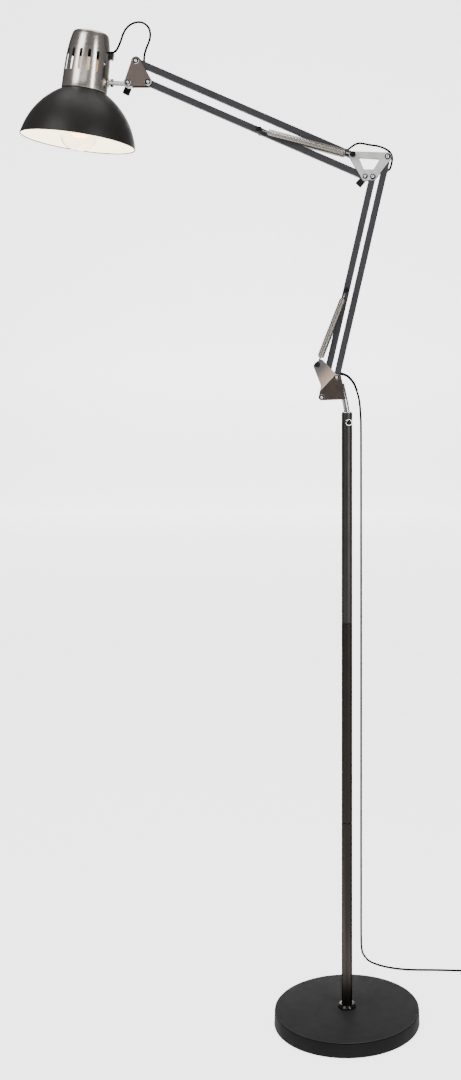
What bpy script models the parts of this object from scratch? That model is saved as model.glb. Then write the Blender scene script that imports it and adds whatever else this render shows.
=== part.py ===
"""Adjustable arm floor lamp: weighted base, pole, two sprung parallelogram arms and a domed head.

Metres, +Z up. The origin is the centre of the base's underside. The arms move in the XZ plane,
the head hangs on the -X side, and the mains cord runs back (+Y) and then off to +X.
"""

import math

import bmesh
import bpy
from mathutils import Matrix, Vector

# ---- driving dimensions ---------------------------------------------------------------------

GAP = 0.0003  # room left between pieces that touch
RUNNING = 0.0003  # radial clearance of a pin in its hole

BASE_RADIUS = 0.125
BASE_FLARE = 0.0008  # the cover's foot is this much wider than its top
BASE_HEIGHT = 0.0260
SHEET = 0.0012  # pressed steel wall
PAD_RADIUS = 0.119
PAD_THICK = 0.0015
WEIGHT_RADIUS = 0.120
WEIGHT_HEIGHT = 0.0165
BASE_BOLT_RADIUS = 0.0058

POLE_RADIUS = 0.0092
POLE_WALL = 0.0014
POLE_TOP = 1.0536
POLE_JOINTS = (0.3450, 0.6900)
SPIGOT_LENGTH = 0.022
COLLAR_RADIUS = 0.0155
COLLAR_HEIGHT = 0.0062
STEM_RADIUS = 0.0050
BUSH_DEPTH = 0.060
CLAMP_SCREW_HEIGHT = 1.0370
CLAMP_SCREW_TURN = math.radians(20)

# pivots as (X, Z)
LOWER_PIVOT = (-0.0436, 1.0805)
LOWER_LINK = (0.0258, 0.0345)
LOWER_REACH = (0.0878, 0.3811)
UPPER_PIVOT = (0.0100, 1.4986)
UPPER_LINK = (0.0210, -0.0364)
UPPER_REACH = (-0.3745, 0.1624)
TILT_PIVOT = (-0.3782, 1.6239)
LOWER_STUD = (-0.0510, 1.1368)
LOWER_PIN_SHARE = 0.483  # how far along its bar each spring pin sits
UPPER_PIN_SHARE = 0.486

BAR_HALF = 0.0056
BAR_WALL = 0.0010
BAR_EYE_RADIUS = 0.0085
PLATE_INNER = BAR_HALF + GAP
PLATE_THICK = 0.0016
PLATE_OUTER = PLATE_INNER + PLATE_THICK
BOLT_RADIUS = 0.0024
BOLT_HEAD_RADIUS = 0.0055
BOLT_HEAD_HEIGHT = 0.0026
WING_SPAN = 0.0190
WING_HALF = 0.0058
WING_TURN = math.radians(-45)

SPRING_RADIUS = 0.0058
SPRING_PLANE = 0.0137  # distance of each spring's axis from the arms' middle plane
SPRING_SHANK = 0.0150  # from the pin to the first turn
WIRE_RADIUS = 0.0006
EAR_CREASE = ((-0.0436, 1.0948), (-0.0196, 1.1203))
EAR_SLOPE = math.tan(math.radians(5))

HEAD_JOINT = (-0.4550, 1.6095)  # centre of the seam between cap and dome
HEAD_LEAN = math.radians(7)
SEAM = 0.0006
DOME_TOP_RADIUS = 0.0380
DOME_DEPTH = 0.0880
DOME_ARC_CENTRE = (-0.0276, -0.1106)
DOME_ARC_RADIUS = 0.1286
DOME_WALL = 0.0012
HOLDER_RADIUS = 0.0190
CAP_OUTLINE = ((0.0390, 0.0), (0.0386, 0.034), (0.0374, 0.058), (0.0325, 0.091))
CAP_CORNER = ((0.0311, 0.0988), (0.0285, 0.1020))
CAP_HEIGHT = 0.1020
CAP_WALL = 0.0012
SLOT_COUNT = 12
SLOT_PITCH = math.radians(22.5)
SLOT_MIDDLE = math.radians(183.5)
SLOT_HALF_WIDTH = 0.0025
SLOT_SPAN = (0.0323, 0.0643)  # centres of a slot's two round ends
GROMMET_HEIGHT = 0.0665
GROMMET_SIZE = (0.0062, 0.0100, 0.0146)
BULB_RADIUS = 0.0340
BULB_DROP = 0.0700
BULB_NECK = 0.0138
BUTTON_RADIUS = 0.0058
ROD_RADIUS = 0.0043
ROD_DROP = 0.0012  # the rod's axis passes this far under the tilt pivot
ROD_RISE = math.radians(3)
ROD_LENGTH = 0.0500

CORD_RADIUS = 0.0019
COIL_CENTRE = (0.2620, 0.2140)
COIL_INNER = 0.0165
COIL_OUTER = 0.0262
COIL_BOTTOM = 0.0012
COIL_TOP = 0.0132
PLUG_START = (0.2872, 0.2330, 0.0066)
PLUG_STUB = 0.0055

# where the lead passes through the walls of its two bars, from their starts
LEAD_HOLE_RADIUS = 0.0038
UPPER_LEAD_HOLES = (0.0120, 0.3954)
LOWER_LEAD_HOLES = (0.0226, 0.3833)

# routes, as points that a smooth curve runs through
HEAD_LEAD_ROUTE = (
    (-0.4480, 1.6640), (-0.4455, 1.6705), (-0.4380, 1.6748), (-0.4270, 1.6757), (-0.4150, 1.6757),
    (-0.4045, 1.6759), (-0.3985, 1.6800), (-0.3940, 1.6885), (-0.3903, 1.6985), (-0.3870, 1.7090),
    (-0.3818, 1.7188), (-0.3742, 1.7262), (-0.3650, 1.7302), (-0.3560, 1.7303), (-0.3476, 1.7258),
    (-0.3424, 1.7175), (-0.3412, 1.7070), (-0.3434, 1.6965), (-0.3472, 1.6868), (-0.3500, 1.6770),
    (-0.3511, 1.6690), (-0.3511, 1.6617),
)
ELBOW_ROUTE = (
    (0.0059, 1.5123), (0.0140, 1.5180), (0.0222, 1.5202), (0.0330, 1.5185), (0.0425, 1.5168),
    (0.0520, 1.5155), (0.0630, 1.5121), (0.0712, 1.5074), (0.0764, 1.5016), (0.0782, 1.4945),
    (0.0776, 1.4868), (0.0760, 1.4806),
)
EXIT_ROUTE = (
    (-0.0042, 1.1196), (0.0010, 1.1170), (0.0058, 1.1126), (0.0104, 1.1068), (0.0144, 1.0993), (0.0176, 1.0900),
)
CORD_ROUTE = (
    (0.0176, 0.0000, 1.0897), (0.0202, 0.0005, 1.0801), (0.0223, 0.0012, 1.0668),
    (0.0235, 0.0024, 1.0500), (0.0242, 0.0050, 1.0300), (0.0244, 0.0096, 0.9500),
    (0.0245, 0.0158, 0.8500), (0.0246, 0.0267, 0.7000), (0.0247, 0.0399, 0.5500),
    (0.0248, 0.0570, 0.4000), (0.0249, 0.0753, 0.2800), (0.0251, 0.0942, 0.1900),
    (0.0252, 0.1120, 0.1250), (0.0258, 0.1285, 0.0800), (0.0279, 0.1480, 0.0560),
    (0.0329, 0.1663, 0.0395), (0.0415, 0.1830, 0.0235), (0.0586, 0.1950, 0.0112),
    (0.0778, 0.1973, 0.0055), (0.0972, 0.1968, 0.0030), (0.1163, 0.1952, 0.0021),
    (0.1450, 0.1944, 0.0020), (0.1750, 0.1936, 0.0020), (0.2150, 0.1914, 0.0020), (0.2458, 0.1906, 0.0026),
)


# ---- small geometry -------------------------------------------------------------------------


def add2(p, q, share=1.0):
    return (p[0] + share * q[0], p[1] + share * q[1])


LOWER_ARM_PIVOT = add2(LOWER_PIVOT, LOWER_LINK)
ELBOW_LOW = add2(LOWER_PIVOT, LOWER_REACH)
ELBOW_HIGH = add2(ELBOW_LOW, LOWER_LINK)
UPPER_LINK_PIVOT = add2(UPPER_PIVOT, UPPER_LINK)
HEAD_HIGH = add2(UPPER_PIVOT, UPPER_REACH)
HEAD_LOW = add2(UPPER_LINK_PIVOT, UPPER_REACH)
LOWER_PIN = add2(LOWER_PIVOT, LOWER_REACH, LOWER_PIN_SHARE)
UPPER_PIN = add2(UPPER_LINK_PIVOT, UPPER_REACH, UPPER_PIN_SHARE)
HEAD_FRAME = Matrix.Translation((HEAD_JOINT[0], 0, HEAD_JOINT[1])) @ Matrix.Rotation(HEAD_LEAN, 4, "Y")
ROD_DIRECTION = Vector((-math.cos(ROD_RISE), 0, math.sin(ROD_RISE)))
ROD_START = Vector((TILT_PIVOT[0], 0, TILT_PIVOT[1] - ROD_DROP))

BODY_ORIGINS = {
    "stand": (0, 0),
    "swivel": (0, POLE_TOP),
    "lower_link": LOWER_PIVOT,
    "lower_arm": LOWER_ARM_PIVOT,
    "lower_spring": LOWER_STUD,
    "elbow": ELBOW_HIGH,
    "elbow_wing_nut": UPPER_LINK_PIVOT,
    "upper_arm": UPPER_PIVOT,
    "upper_link": UPPER_LINK_PIVOT,
    "upper_spring": UPPER_PIVOT,
    "upper_spring_head": UPPER_PIN,
    "head_bracket": HEAD_HIGH,
    "head_wing_nut": TILT_PIVOT,
    "yoke": TILT_PIVOT,
    "head": (ROD_START.x, ROD_START.z),
    "switch": HEAD_JOINT,
}


def circle(centre, radius, steps):
    return [
        (centre[0] + radius * math.cos(t), centre[1] + radius * math.sin(t))
        for t in (2 * math.pi * k / steps for k in range(steps))
    ]


def hull(circles, steps=18):
    """The convex outline round the circles, each (centre, radius)."""
    points = sorted(p for centre, radius in circles for p in circle(centre, radius, steps))

    def half(ordered):
        chain = []
        for p in ordered:
            while len(chain) > 1 and turn(chain[-2], chain[-1], p) <= 0:
                chain.pop()
            chain.append(p)
        return chain[:-1]

    return half(points) + half(points[::-1])


def turn(a, b, c):
    return (b[0] - a[0]) * (c[1] - a[1]) - (b[1] - a[1]) * (c[0] - a[0])


def rounded(corners, steps=3):
    """A polygon's outline with each corner, given as (x, z, radius), rounded by an arc."""
    outline = []
    for k, (x, z, radius) in enumerate(corners):
        here = Vector((x, z))
        before = (Vector(corners[k - 1][:2]) - here).normalized()
        after = (Vector(corners[(k + 1) % len(corners)][:2]) - here).normalized()
        half_angle = before.angle(after) / 2
        middle = here + (before + after).normalized() * radius / math.sin(half_angle)
        first = here + before * radius / math.tan(half_angle) - middle
        swing = (here + after * radius / math.tan(half_angle) - middle).angle_signed(first)
        for step in range(steps + 1):
            outline.append(tuple(middle + Matrix.Rotation(swing * step / steps, 2) @ first))
    return outline


def smooth_route(points, spacing):
    """Evenly spaced points on a Catmull-Rom curve through the given points."""
    knots = [Vector(p) for p in points]
    knots = [2 * knots[0] - knots[1], *knots, 2 * knots[-1] - knots[-2]]
    fine = []
    for a, b, c, d in zip(knots, knots[1:], knots[2:], knots[3:]):
        for step in range(12):
            t = step / 12
            fine.append(
                0.5 * (2 * b + (c - a) * t + (2 * a - 5 * b + 4 * c - d) * t**2 + (3 * b - a - 3 * c + d) * t**3)
            )
    fine.append(knots[-2])
    lengths = [0.0]
    for a, b in zip(fine, fine[1:]):
        lengths.append(lengths[-1] + (b - a).length)
    count = max(2, round(lengths[-1] / spacing))
    route, k = [], 0
    for step in range(count + 1):
        at = lengths[-1] * step / count
        while k < len(fine) - 2 and lengths[k + 1] < at:
            k += 1
        share = (at - lengths[k]) / (lengths[k + 1] - lengths[k])
        route.append(fine[k].lerp(fine[k + 1], share))
    return route


def beside(start, end, distance, offset):
    """A point this far along a bar from its start, and this far off its axis to the left."""
    forward = (Vector(end) - Vector(start)).normalized()
    return tuple(Vector(start) + forward * distance + Vector((-forward.y, forward.x)) * offset)


def in_plane(points):
    return [(x, 0.0, z) for x, z in points]


# ---- building blocks ------------------------------------------------------------------------


def clear_scene():
    for obj in list(bpy.data.objects):
        bpy.data.objects.remove(obj, do_unlink=True)


def make_bodies():
    empties = {}
    for name, (x, z) in BODY_ORIGINS.items():
        empty = bpy.data.objects.new("joint_" + name, None)
        empty.location = (x, 0, z)
        empty.empty_display_size = 0.02
        bpy.context.collection.objects.link(empty)
        empties[name] = empty
    return empties


def material(name, colour, roughness, metallic):
    mat = bpy.data.materials.new(name)
    mat.use_nodes = True
    shader = mat.node_tree.nodes["Principled BSDF"]
    shader.inputs["Base Color"].default_value = (*colour, 1)
    shader.inputs["Roughness"].default_value = roughness
    shader.inputs["Metallic"].default_value = metallic
    return mat


def make_materials():
    return {
        "charcoal": material("charcoal_coat", (0.045, 0.044, 0.046), 0.55, 0.0),
        "slate": material("slate_coat", (0.065, 0.065, 0.072), 0.5, 0.0),
        "black": material("black_plastic", (0.008, 0.008, 0.008), 0.35, 0.0),
        "pole": material("black_nickel", (0.03, 0.026, 0.025), 0.3, 0.6),
        "nickel": material("satin_nickel", (0.55, 0.5, 0.45), 0.25, 1.0),
        "chrome": material("chrome", (0.75, 0.75, 0.75), 0.08, 1.0),
        "iron": material("cast_iron", (0.1, 0.1, 0.1), 0.7, 0.6),
        "rubber": material("foam_rubber", (0.02, 0.02, 0.02), 0.8, 0.0),
        "cable": material("cable_sheath", (0.01, 0.01, 0.01), 0.45, 0.0),
        "glass": material("bulb_glass", (0.95, 0.95, 0.93), 0.05, 0.0),
        "brass": material("brass", (0.7, 0.5, 0.25), 0.3, 1.0),
    }


def link(obj, mat, body):
    empty = BODIES[body]
    obj.data.materials.append(MATERIALS[mat])
    bpy.context.collection.objects.link(obj)
    obj.parent = empty
    obj.matrix_parent_inverse = Matrix.Translation(empty.location).inverted()
    return obj


def from_bmesh(name, bm, mat, body, frame=None):
    bmesh.ops.recalc_face_normals(bm, faces=bm.faces)
    mesh = bpy.data.meshes.new(name)
    bm.to_mesh(mesh)
    bm.free()
    mesh.shade_smooth()
    mesh.set_sharp_from_angle(angle=math.radians(35))
    obj = link(bpy.data.objects.new(name, mesh), mat, body)
    if frame is not None:
        obj.matrix_basis = frame
    return obj


def lathe_bmesh(profile, steps):
    """Turns a closed outline of (radius, height) points about Z. It may start and end on the axis."""
    bm = bmesh.new()
    rings = []
    for radius, z in profile:
        count = steps if radius > 1e-6 else 1
        rings.append([
            bm.verts.new((radius * math.cos(t), radius * math.sin(t), z))
            for t in (2 * math.pi * k / steps for k in range(count))
        ])
    for ring, following in zip(rings, rings[1:] + rings[:1]):
        if len(ring) == len(following) == 1:
            continue
        for k in range(steps):
            corners = [ring[k % len(ring)], ring[(k + 1) % steps % len(ring)]]
            corners += [following[(k + 1) % steps % len(following)], following[k % len(following)]]
            bm.faces.new(list(dict.fromkeys(corners)))
    return bm


def lathe(name, profile, mat, body, frame=None, steps=24):
    return from_bmesh(name, lathe_bmesh(profile, steps), mat, body, frame)


def prism_bmesh(outline, holes, y_low, y_high):
    """An outline in XZ, less its holes, carried from y_low to y_high."""
    bm = bmesh.new()
    for loop in [outline, *holes]:
        ring = [bm.verts.new((x, y_low, z)) for x, z in loop]
        for a, b in zip(ring, ring[1:] + ring[:1]):
            bm.edges.new((a, b))
    filled = bmesh.ops.triangle_fill(bm, use_beauty=True, edges=bm.edges)
    faces = [item for item in filled["geom"] if isinstance(item, bmesh.types.BMFace)]
    far = bmesh.ops.extrude_face_region(bm, geom=faces)["geom"]
    moved = [item for item in far if isinstance(item, bmesh.types.BMVert)]
    bmesh.ops.translate(bm, verts=moved, vec=(0, y_high - y_low, 0))
    return bm


def prism(name, outline, holes, y_low, y_high, mat, body):
    return from_bmesh(name, prism_bmesh(outline, holes, y_low, y_high), mat, body)


def tube(name, route, radius, mat, body, taper=None, sides=2):
    """A round tube along the points. Taper gives the last point's share of the radius."""
    curve = bpy.data.curves.new(name, "CURVE")
    curve.dimensions = "3D"
    curve.bevel_depth = radius
    curve.bevel_resolution = sides
    curve.use_fill_caps = True
    spline = curve.splines.new("POLY")
    spline.points.add(len(route) - 1)
    for k, (point, place) in enumerate(zip(spline.points, route)):
        point.co = (*place, 1)
        if taper:
            point.radius = 1 + (taper - 1) * k / (len(route) - 1)
    return link(bpy.data.objects.new(name, curve), mat, body)


def combine(obj, other, operation):
    """Joins or cuts obj with a hidden helper."""
    other.hide_render = True
    other.display_type = "WIRE"
    modifier = obj.modifiers.new(operation.lower(), "BOOLEAN")
    modifier.operation = operation
    modifier.object = other
    return obj


def across(point, tilt=0.0):
    """A frame with local Z along +Y, at a point of the arms' plane."""
    place = Matrix.Translation((point[0], 0, point[1]))
    return place @ Matrix.Rotation(tilt, 4, "Y") @ Matrix.Rotation(-math.pi / 2, 4, "X")


def along(start, direction):
    """A frame with local Z along the direction."""
    turned = Vector((0, 0, 1)).rotation_difference(Vector(direction)).to_matrix().to_4x4()
    return Matrix.Translation(start) @ turned


# ---- base and pole --------------------------------------------------------------------------


def make_base():
    top = BASE_HEIGHT
    flare = BASE_RADIUS + BASE_FLARE
    hole = POLE_RADIUS + 2 * GAP
    cover = [
        (hole, top), (BASE_RADIUS - 0.0012, top), (BASE_RADIUS - 0.0003, top - 0.0004),
        (BASE_RADIUS, top - 0.0014), (flare, 0.0010), (flare - SHEET, 0.0010),
        (BASE_RADIUS - SHEET, top - 0.0022), (BASE_RADIUS - 2 * SHEET, top - SHEET), (hole, top - SHEET),
    ]
    lathe("base_cover", cover, "charcoal", "stand", steps=44)
    low, high = PAD_THICK + GAP, PAD_THICK + GAP + WEIGHT_HEIGHT
    hole = BASE_BOLT_RADIUS + RUNNING
    weight = [
        (hole, low + 0.006), (0.016, low + 0.006), (0.016, low), (WEIGHT_RADIUS, low),
        (WEIGHT_RADIUS, high - 0.002), (WEIGHT_RADIUS - 0.002, high), (hole, high),
    ]
    lathe("base_weight", weight, "iron", "stand", steps=32)
    pad = [(0, 0), (PAD_RADIUS, 0), (PAD_RADIUS, PAD_THICK), (0, PAD_THICK)]
    lathe("base_pad", pad, "rubber", "stand", steps=40)
    inside = POLE_RADIUS - POLE_WALL - GAP
    bolt = [
        (0, low + 0.0004), (0.011, low + 0.0004), (0.011, low + 0.0055), (BASE_BOLT_RADIUS, low + 0.0055),
        (BASE_BOLT_RADIUS, top - 0.004), (inside, top - 0.0030), (inside, top + 0.026), (0, top + 0.026),
    ]
    lathe("base_bolt", bolt, "iron", "stand", steps=18)
    foot = top + GAP
    inner = POLE_RADIUS + RUNNING
    collar = [
        (inner, foot), (COLLAR_RADIUS, foot), (COLLAR_RADIUS, foot + 0.0024),
        (COLLAR_RADIUS - 0.0018, foot + COLLAR_HEIGHT - 0.0008),
        (COLLAR_RADIUS - 0.0030, foot + COLLAR_HEIGHT), (inner, foot + COLLAR_HEIGHT),
    ]
    lathe("base_collar", collar, "black", "stand", steps=20)


def make_pole():
    ends = [BASE_HEIGHT - 0.0025, *POLE_JOINTS, POLE_TOP]
    inside = POLE_RADIUS - POLE_WALL
    spigot = inside - RUNNING
    for name, low, high in zip(("lower", "middle", "upper"), ends, ends[1:]):
        foot = low + (GAP if name != "lower" else 0)
        tube_wall = [(inside, foot), (POLE_RADIUS - 0.0003, foot), (POLE_RADIUS, foot + 0.0004)]
        if name == "upper":
            tube_wall += [(POLE_RADIUS, high - 0.0006), (POLE_RADIUS - 0.0006, high), (inside, high)]
        else:
            tube_wall += [
                (POLE_RADIUS, high - 0.0004), (POLE_RADIUS - 0.0003, high), (spigot, high),
                (spigot, high + SPIGOT_LENGTH), (spigot - 0.0016, high + SPIGOT_LENGTH),
                (spigot - 0.0016, high - 0.010), (inside, high - 0.012),
            ]
        lathe("pole_" + name, tube_wall, "pole", "stand", steps=20)


def make_pole_top():
    inner = STEM_RADIUS + RUNNING
    outer = POLE_RADIUS - POLE_WALL - GAP
    bush = [
        (inner, POLE_TOP - BUSH_DEPTH), (outer, POLE_TOP - BUSH_DEPTH), (outer, POLE_TOP + GAP),
        (POLE_RADIUS - 0.0002, POLE_TOP + GAP), (POLE_RADIUS - 0.0008, POLE_TOP + 0.0018), (inner, POLE_TOP + 0.0018),
    ]
    lathe("pole_bush", bush, "chrome", "stand", steps=20)
    outward = Vector((math.sin(CLAMP_SCREW_TURN), -math.cos(CLAMP_SCREW_TURN), 0))
    seat = POLE_RADIUS + GAP
    screw = [
        (0, seat), (0.0050, seat), (0.0050, seat + 0.0012), (0.0040, seat + 0.0016),
        (0.0038, seat + 0.0030), (0.0028, seat + 0.0042), (0, seat + 0.0046),
    ]
    lathe("clamp_screw", screw, "black", "stand", along((0, 0, CLAMP_SCREW_HEIGHT), outward), steps=14)


# ---- pivots, bars and plates ----------------------------------------------------------------


def bolt_profile(reach, head_radius=BOLT_HEAD_RADIUS):
    """A shank between two domed heads, one on each side of the plates."""
    seat, crown = reach + GAP, reach + GAP + BOLT_HEAD_HEIGHT
    half = [
        (BOLT_RADIUS, seat), (head_radius, seat), (head_radius, seat + 0.0009), (head_radius * 0.6, crown - 0.0002),
    ]
    return [(0, -crown), *[(r, -z) for r, z in half[::-1]], *half, (0, crown)]


def bolt(name, point, body, mat="chrome", head_radius=BOLT_HEAD_RADIUS):
    lathe(name, bolt_profile(PLATE_OUTER, head_radius), mat, body, across(point), steps=12)


def one_sided_bolt(name, point, body):
    """A bolt with a domed head in front and a thread behind that carries a wing nut."""
    front = bolt_profile(PLATE_OUTER)
    front = [p for p in front if p[1] < 0]
    profile = [*front, (BOLT_RADIUS, PLATE_OUTER + 0.0135), (0, PLATE_OUTER + 0.0135)]
    lathe(name, profile, "chrome", body, across(point), steps=12)


def wing_nut(name, point, body, turned):
    """A boss with two thick wings, behind the bracket."""
    low = PLATE_OUTER + GAP
    bore = BOLT_RADIUS + RUNNING
    boss = [(bore, low), (0.0060, low), (0.0048, low + 0.0080), (bore, low + 0.0080)]
    nut = lathe(name, boss, "black", body, across(point, turned), steps=14)
    for side in (1, -1):
        outline = rounded([
            (side * 0.0042, 0.0022, 0.0005), (side * 0.0085, 0.0042, 0.0012),
            (side * WING_SPAN, 0.0090, 0.0025), (side * (WING_SPAN - 0.0030), 0.0130, 0.0025),
            (side * 0.0042, 0.0074, 0.0005),
        ][::side], steps=2)
        wing = prism_bmesh(outline, [], -WING_HALF, WING_HALF)
        helper = from_bmesh(f"{name}_wing_{'a' if side > 0 else 'b'}", wing, "black", body)
        helper.matrix_basis = across(point, turned) @ Matrix.Translation((0, 0, low))
        combine(nut, helper, "UNION")


def bar_outline(start, end, half, eye=0.0):
    """A bar with round ends about its two pivots. An eye makes the first end a larger disc."""
    direction = (Vector(end) - Vector(start)).normalized()
    angle = math.atan2(direction.y, direction.x)
    outline = []
    for centre, facing, radius in ((start, angle + math.pi, max(eye, half)), (end, angle, half)):
        sweep = 2 * math.pi - 2 * math.asin(half / radius)
        for k in range(9):
            t = facing - sweep / 2 + sweep * k / 8
            outline.append((centre[0] + radius * math.cos(t), centre[1] + radius * math.sin(t)))
    return outline


def hollow_bar_bmesh(outline, room, holes, wall):
    """A flat-sided tube: two side walls with holes in them, joined round their edges."""
    bm = bmesh.new()

    def rings(loops, y):
        return [[bm.verts.new((x, y, z)) for x, z in loop] for loop in loops]

    def skin(one, other):
        for k, vertex in enumerate(one):
            bm.faces.new((one[k - 1], vertex, other[k], other[k - 1]))

    rims = []
    for side in (-1, 1):
        outside = rings([outline, *holes], side * BAR_HALF)
        inside = rings([room, *holes], side * (BAR_HALF - wall))
        for loops in (outside, inside):
            edges = [bm.edges.new((loop[k - 1], loop[k])) for loop in loops for k in range(len(loop))]
            bmesh.ops.triangle_fill(bm, use_beauty=True, edges=edges)
        for one, other in zip(outside[1:], inside[1:]):
            skin(one, other)
        rims.append((outside[0], inside[0]))
    for front, rear in zip(*rims):
        skin(front, rear)
    return bm


def bar(name, start, end, body, pin=None, eye=0.0, lead_holes=()):
    """A square tube with pivot holes through it, and holes in its left wall where the lead passes."""
    holes = [circle(p, BOLT_RADIUS + RUNNING, 12) for p in (start, end, pin) if p]
    outline = bar_outline(start, end, BAR_HALF, eye)
    room = bar_outline(start, end, BAR_HALF - BAR_WALL)
    tube_bar = from_bmesh(name, hollow_bar_bmesh(outline, room, holes, BAR_WALL), "slate", body)
    sideways = Vector(in_plane([beside((0, 0), Vector(end) - Vector(start), 0, 1)])[0])
    for k, distance in enumerate(lead_holes):
        place = in_plane([beside(start, end, distance, BAR_HALF)])[0]
        drill = [(0, -0.0022), (LEAD_HOLE_RADIUS, -0.0022), (LEAD_HOLE_RADIUS, 0.0040), (0, 0.0040)]
        cutter = lathe(f"{name}_lead_hole_{k}", drill, "slate", body, along(place, sideways), steps=12)
        combine(tube_bar, cutter, "DIFFERENCE")


def plates(name, outline, hole_places, body, window=(), bent=None):
    """A front and a rear plate, mirror images of each other."""
    holes = [circle(p, BOLT_RADIUS + RUNNING, 12) for p in hole_places]
    holes += [window] if window else []
    made = []
    for side, label in ((-1, "front"), (1, "rear")):
        low, high = sorted((side * PLATE_INNER, side * PLATE_OUTER))
        bm = prism_bmesh(outline, holes, low, high)
        if bent:
            bent(bm, side)
        plate = from_bmesh(f"{name}_{label}", bm, "nickel", body)
        made.append((side, label, plate))
    return made


# ---- swivel bracket -------------------------------------------------------------------------


def ear_height(x, z):
    """How far a point lies past the crease, on the ear's side."""
    (ax, az), (bx, bz) = EAR_CREASE
    length = math.hypot(bx - ax, bz - az)
    return ((bx - ax) * (z - az) - (bz - az) * (x - ax)) / length


def bend_ear(bm, side):
    """Slopes the part of the plate past the crease outwards."""
    (ax, az), (bx, bz) = EAR_CREASE
    normal = (-(bz - az), 0, bx - ax)
    everything = [*bm.verts, *bm.edges, *bm.faces]
    bmesh.ops.bisect_plane(bm, geom=everything, plane_co=(ax, 0, az), plane_no=normal, dist=1e-6)
    for vertex in bm.verts:
        past = ear_height(vertex.co.x, vertex.co.z)
        if past > 0:
            vertex.co.y += side * EAR_SLOPE * past


def make_swivel():
    stem = smooth_route(
        [(0, 0, POLE_TOP - BUSH_DEPTH + 0.004), (0, 0, 1.020), (0, 0, 1.0500), (-0.0012, 0, 1.0620),
         (-0.0052, 0, 1.0830), (-0.0098, 0, 1.1040)], 0.006)
    tube("stem", stem, STEM_RADIUS, "chrome", "swivel")
    outline = rounded([
        (-0.0500, 1.0748, 0.0050), (-0.0020, 1.0768, 0.0015), (-0.0108, 1.1215, 0.0050),
        (-0.0190, 1.1206, 0.0010), (-0.0445, 1.1480, 0.0060), (-0.0588, 1.1362, 0.0060),
        (-0.0446, 1.0990, 0.0008),
    ])
    reach = PLATE_OUTER + EAR_SLOPE * ear_height(*LOWER_STUD)
    for side, label, plate in plates("swivel_plate", outline, (LOWER_PIVOT, LOWER_ARM_PIVOT), "swivel", bent=bend_ear):
        foot, tip = side * (reach - 0.0012), side * (SPRING_PLANE + 0.0030)
        stud = [(0, foot), (BOLT_RADIUS, foot), (BOLT_RADIUS, tip), (0.0046, tip), (0.0046, tip + side * 0.0012),
                (0.0030, tip + side * 0.0024), (0, tip + side * 0.0026)]
        helper = lathe(f"stud_{label}", stud, "black", "swivel", across(LOWER_STUD), steps=12)
        combine(plate, helper, "UNION")
    bolt("lower_link_bolt", LOWER_PIVOT, "swivel")
    bolt("lower_arm_bolt", LOWER_ARM_PIVOT, "swivel", head_radius=0.0052)


# ---- arms -----------------------------------------------------------------------------------


def spring_pair(name, foot, pin, spring_body, hook_body):
    """Two springs, one on each side of the arm, from the foot to the pin, with a hook on the pin."""
    start, end = Vector((foot[0], 0, foot[1])), Vector((pin[0], 0, pin[1]))
    length = (end - start).length
    axis = (end - start) / length
    collar = 0.0026
    body = [
        (0, collar + GAP), (0.0010, collar + GAP), (0.0010, SPRING_SHANK), (SPRING_RADIUS, SPRING_SHANK),
        (SPRING_RADIUS, length - SPRING_SHANK), (0.0010, length - SPRING_SHANK),
        (0.0010, length - SPRING_SHANK + 0.004), (0, length - SPRING_SHANK + 0.004),
    ]
    across_axis = Vector((axis.z, 0, -axis.x))
    loop = 0.0034
    for side, label in ((-1, "front"), (1, "rear")):
        offset = Vector((0, side * SPRING_PLANE, 0))
        lathe(f"{name}_{label}", body, "nickel", spring_body, along(start + offset, axis), steps=12)
        shank = [end + offset - axis * (SPRING_SHANK - 0.0045 - GAP), end + offset - axis * (loop + 0.0022)]
        turns = [math.radians(200 + 270 * k / 6) for k in range(7)]
        ring = [end + offset + loop * (axis * math.cos(t) + across_axis * math.sin(t)) for t in turns]
        tube(f"{name}_hook_{label}", shank + ring, WIRE_RADIUS, "nickel", hook_body, sides=0)


def pin_profile():
    """A pin right through a bar, with a cap at each end outside the spring hooks."""
    tip = SPRING_PLANE + 0.0022
    half = [(BOLT_RADIUS, tip), (0.0052, tip), (0.0052, tip + 0.0012), (0.0034, tip + 0.0026)]
    return [(0, -tip - 0.0030), *[(r, -z) for r, z in half[::-1]], *half, (0, tip + 0.0030)]


def make_lower_arm():
    bar("lower_link_bar", LOWER_PIVOT, ELBOW_LOW, "lower_link", pin=LOWER_PIN)
    bar("lower_arm_bar", ELBOW_HIGH, LOWER_ARM_PIVOT, "lower_arm", lead_holes=LOWER_LEAD_HOLES)
    lathe("lower_spring_pin", pin_profile(), "black", "lower_link", across(LOWER_PIN), steps=12)
    spring_pair("lower_spring", LOWER_STUD, LOWER_PIN, "lower_spring", "lower_link")


def make_elbow():
    outline = hull([(UPPER_PIVOT, 0.0065), (ELBOW_HIGH, 0.0070), (ELBOW_LOW, 0.0066), (UPPER_LINK_PIVOT, 0.0066)])
    window = rounded([
        (0.0204, 1.4948, 0.0015), (0.0292, 1.4740, 0.0015), (0.0456, 1.4736, 0.0015), (0.0572, 1.4926, 0.0015),
    ])
    holes = (UPPER_PIVOT, ELBOW_HIGH, ELBOW_LOW, UPPER_LINK_PIVOT)
    plates("elbow_plate", outline, holes, "elbow", window=window)
    bolt("elbow_high_bolt", ELBOW_HIGH, "elbow", head_radius=0.0068)
    bolt("elbow_low_bolt", ELBOW_LOW, "elbow", head_radius=0.0060)
    one_sided_bolt("elbow_clamp_bolt", UPPER_LINK_PIVOT, "elbow")
    lathe("elbow_pin", pin_profile(), "black", "elbow", across(UPPER_PIVOT), steps=12)
    wing_nut("elbow_wing_nut", UPPER_LINK_PIVOT, "elbow_wing_nut", WING_TURN)


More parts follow.
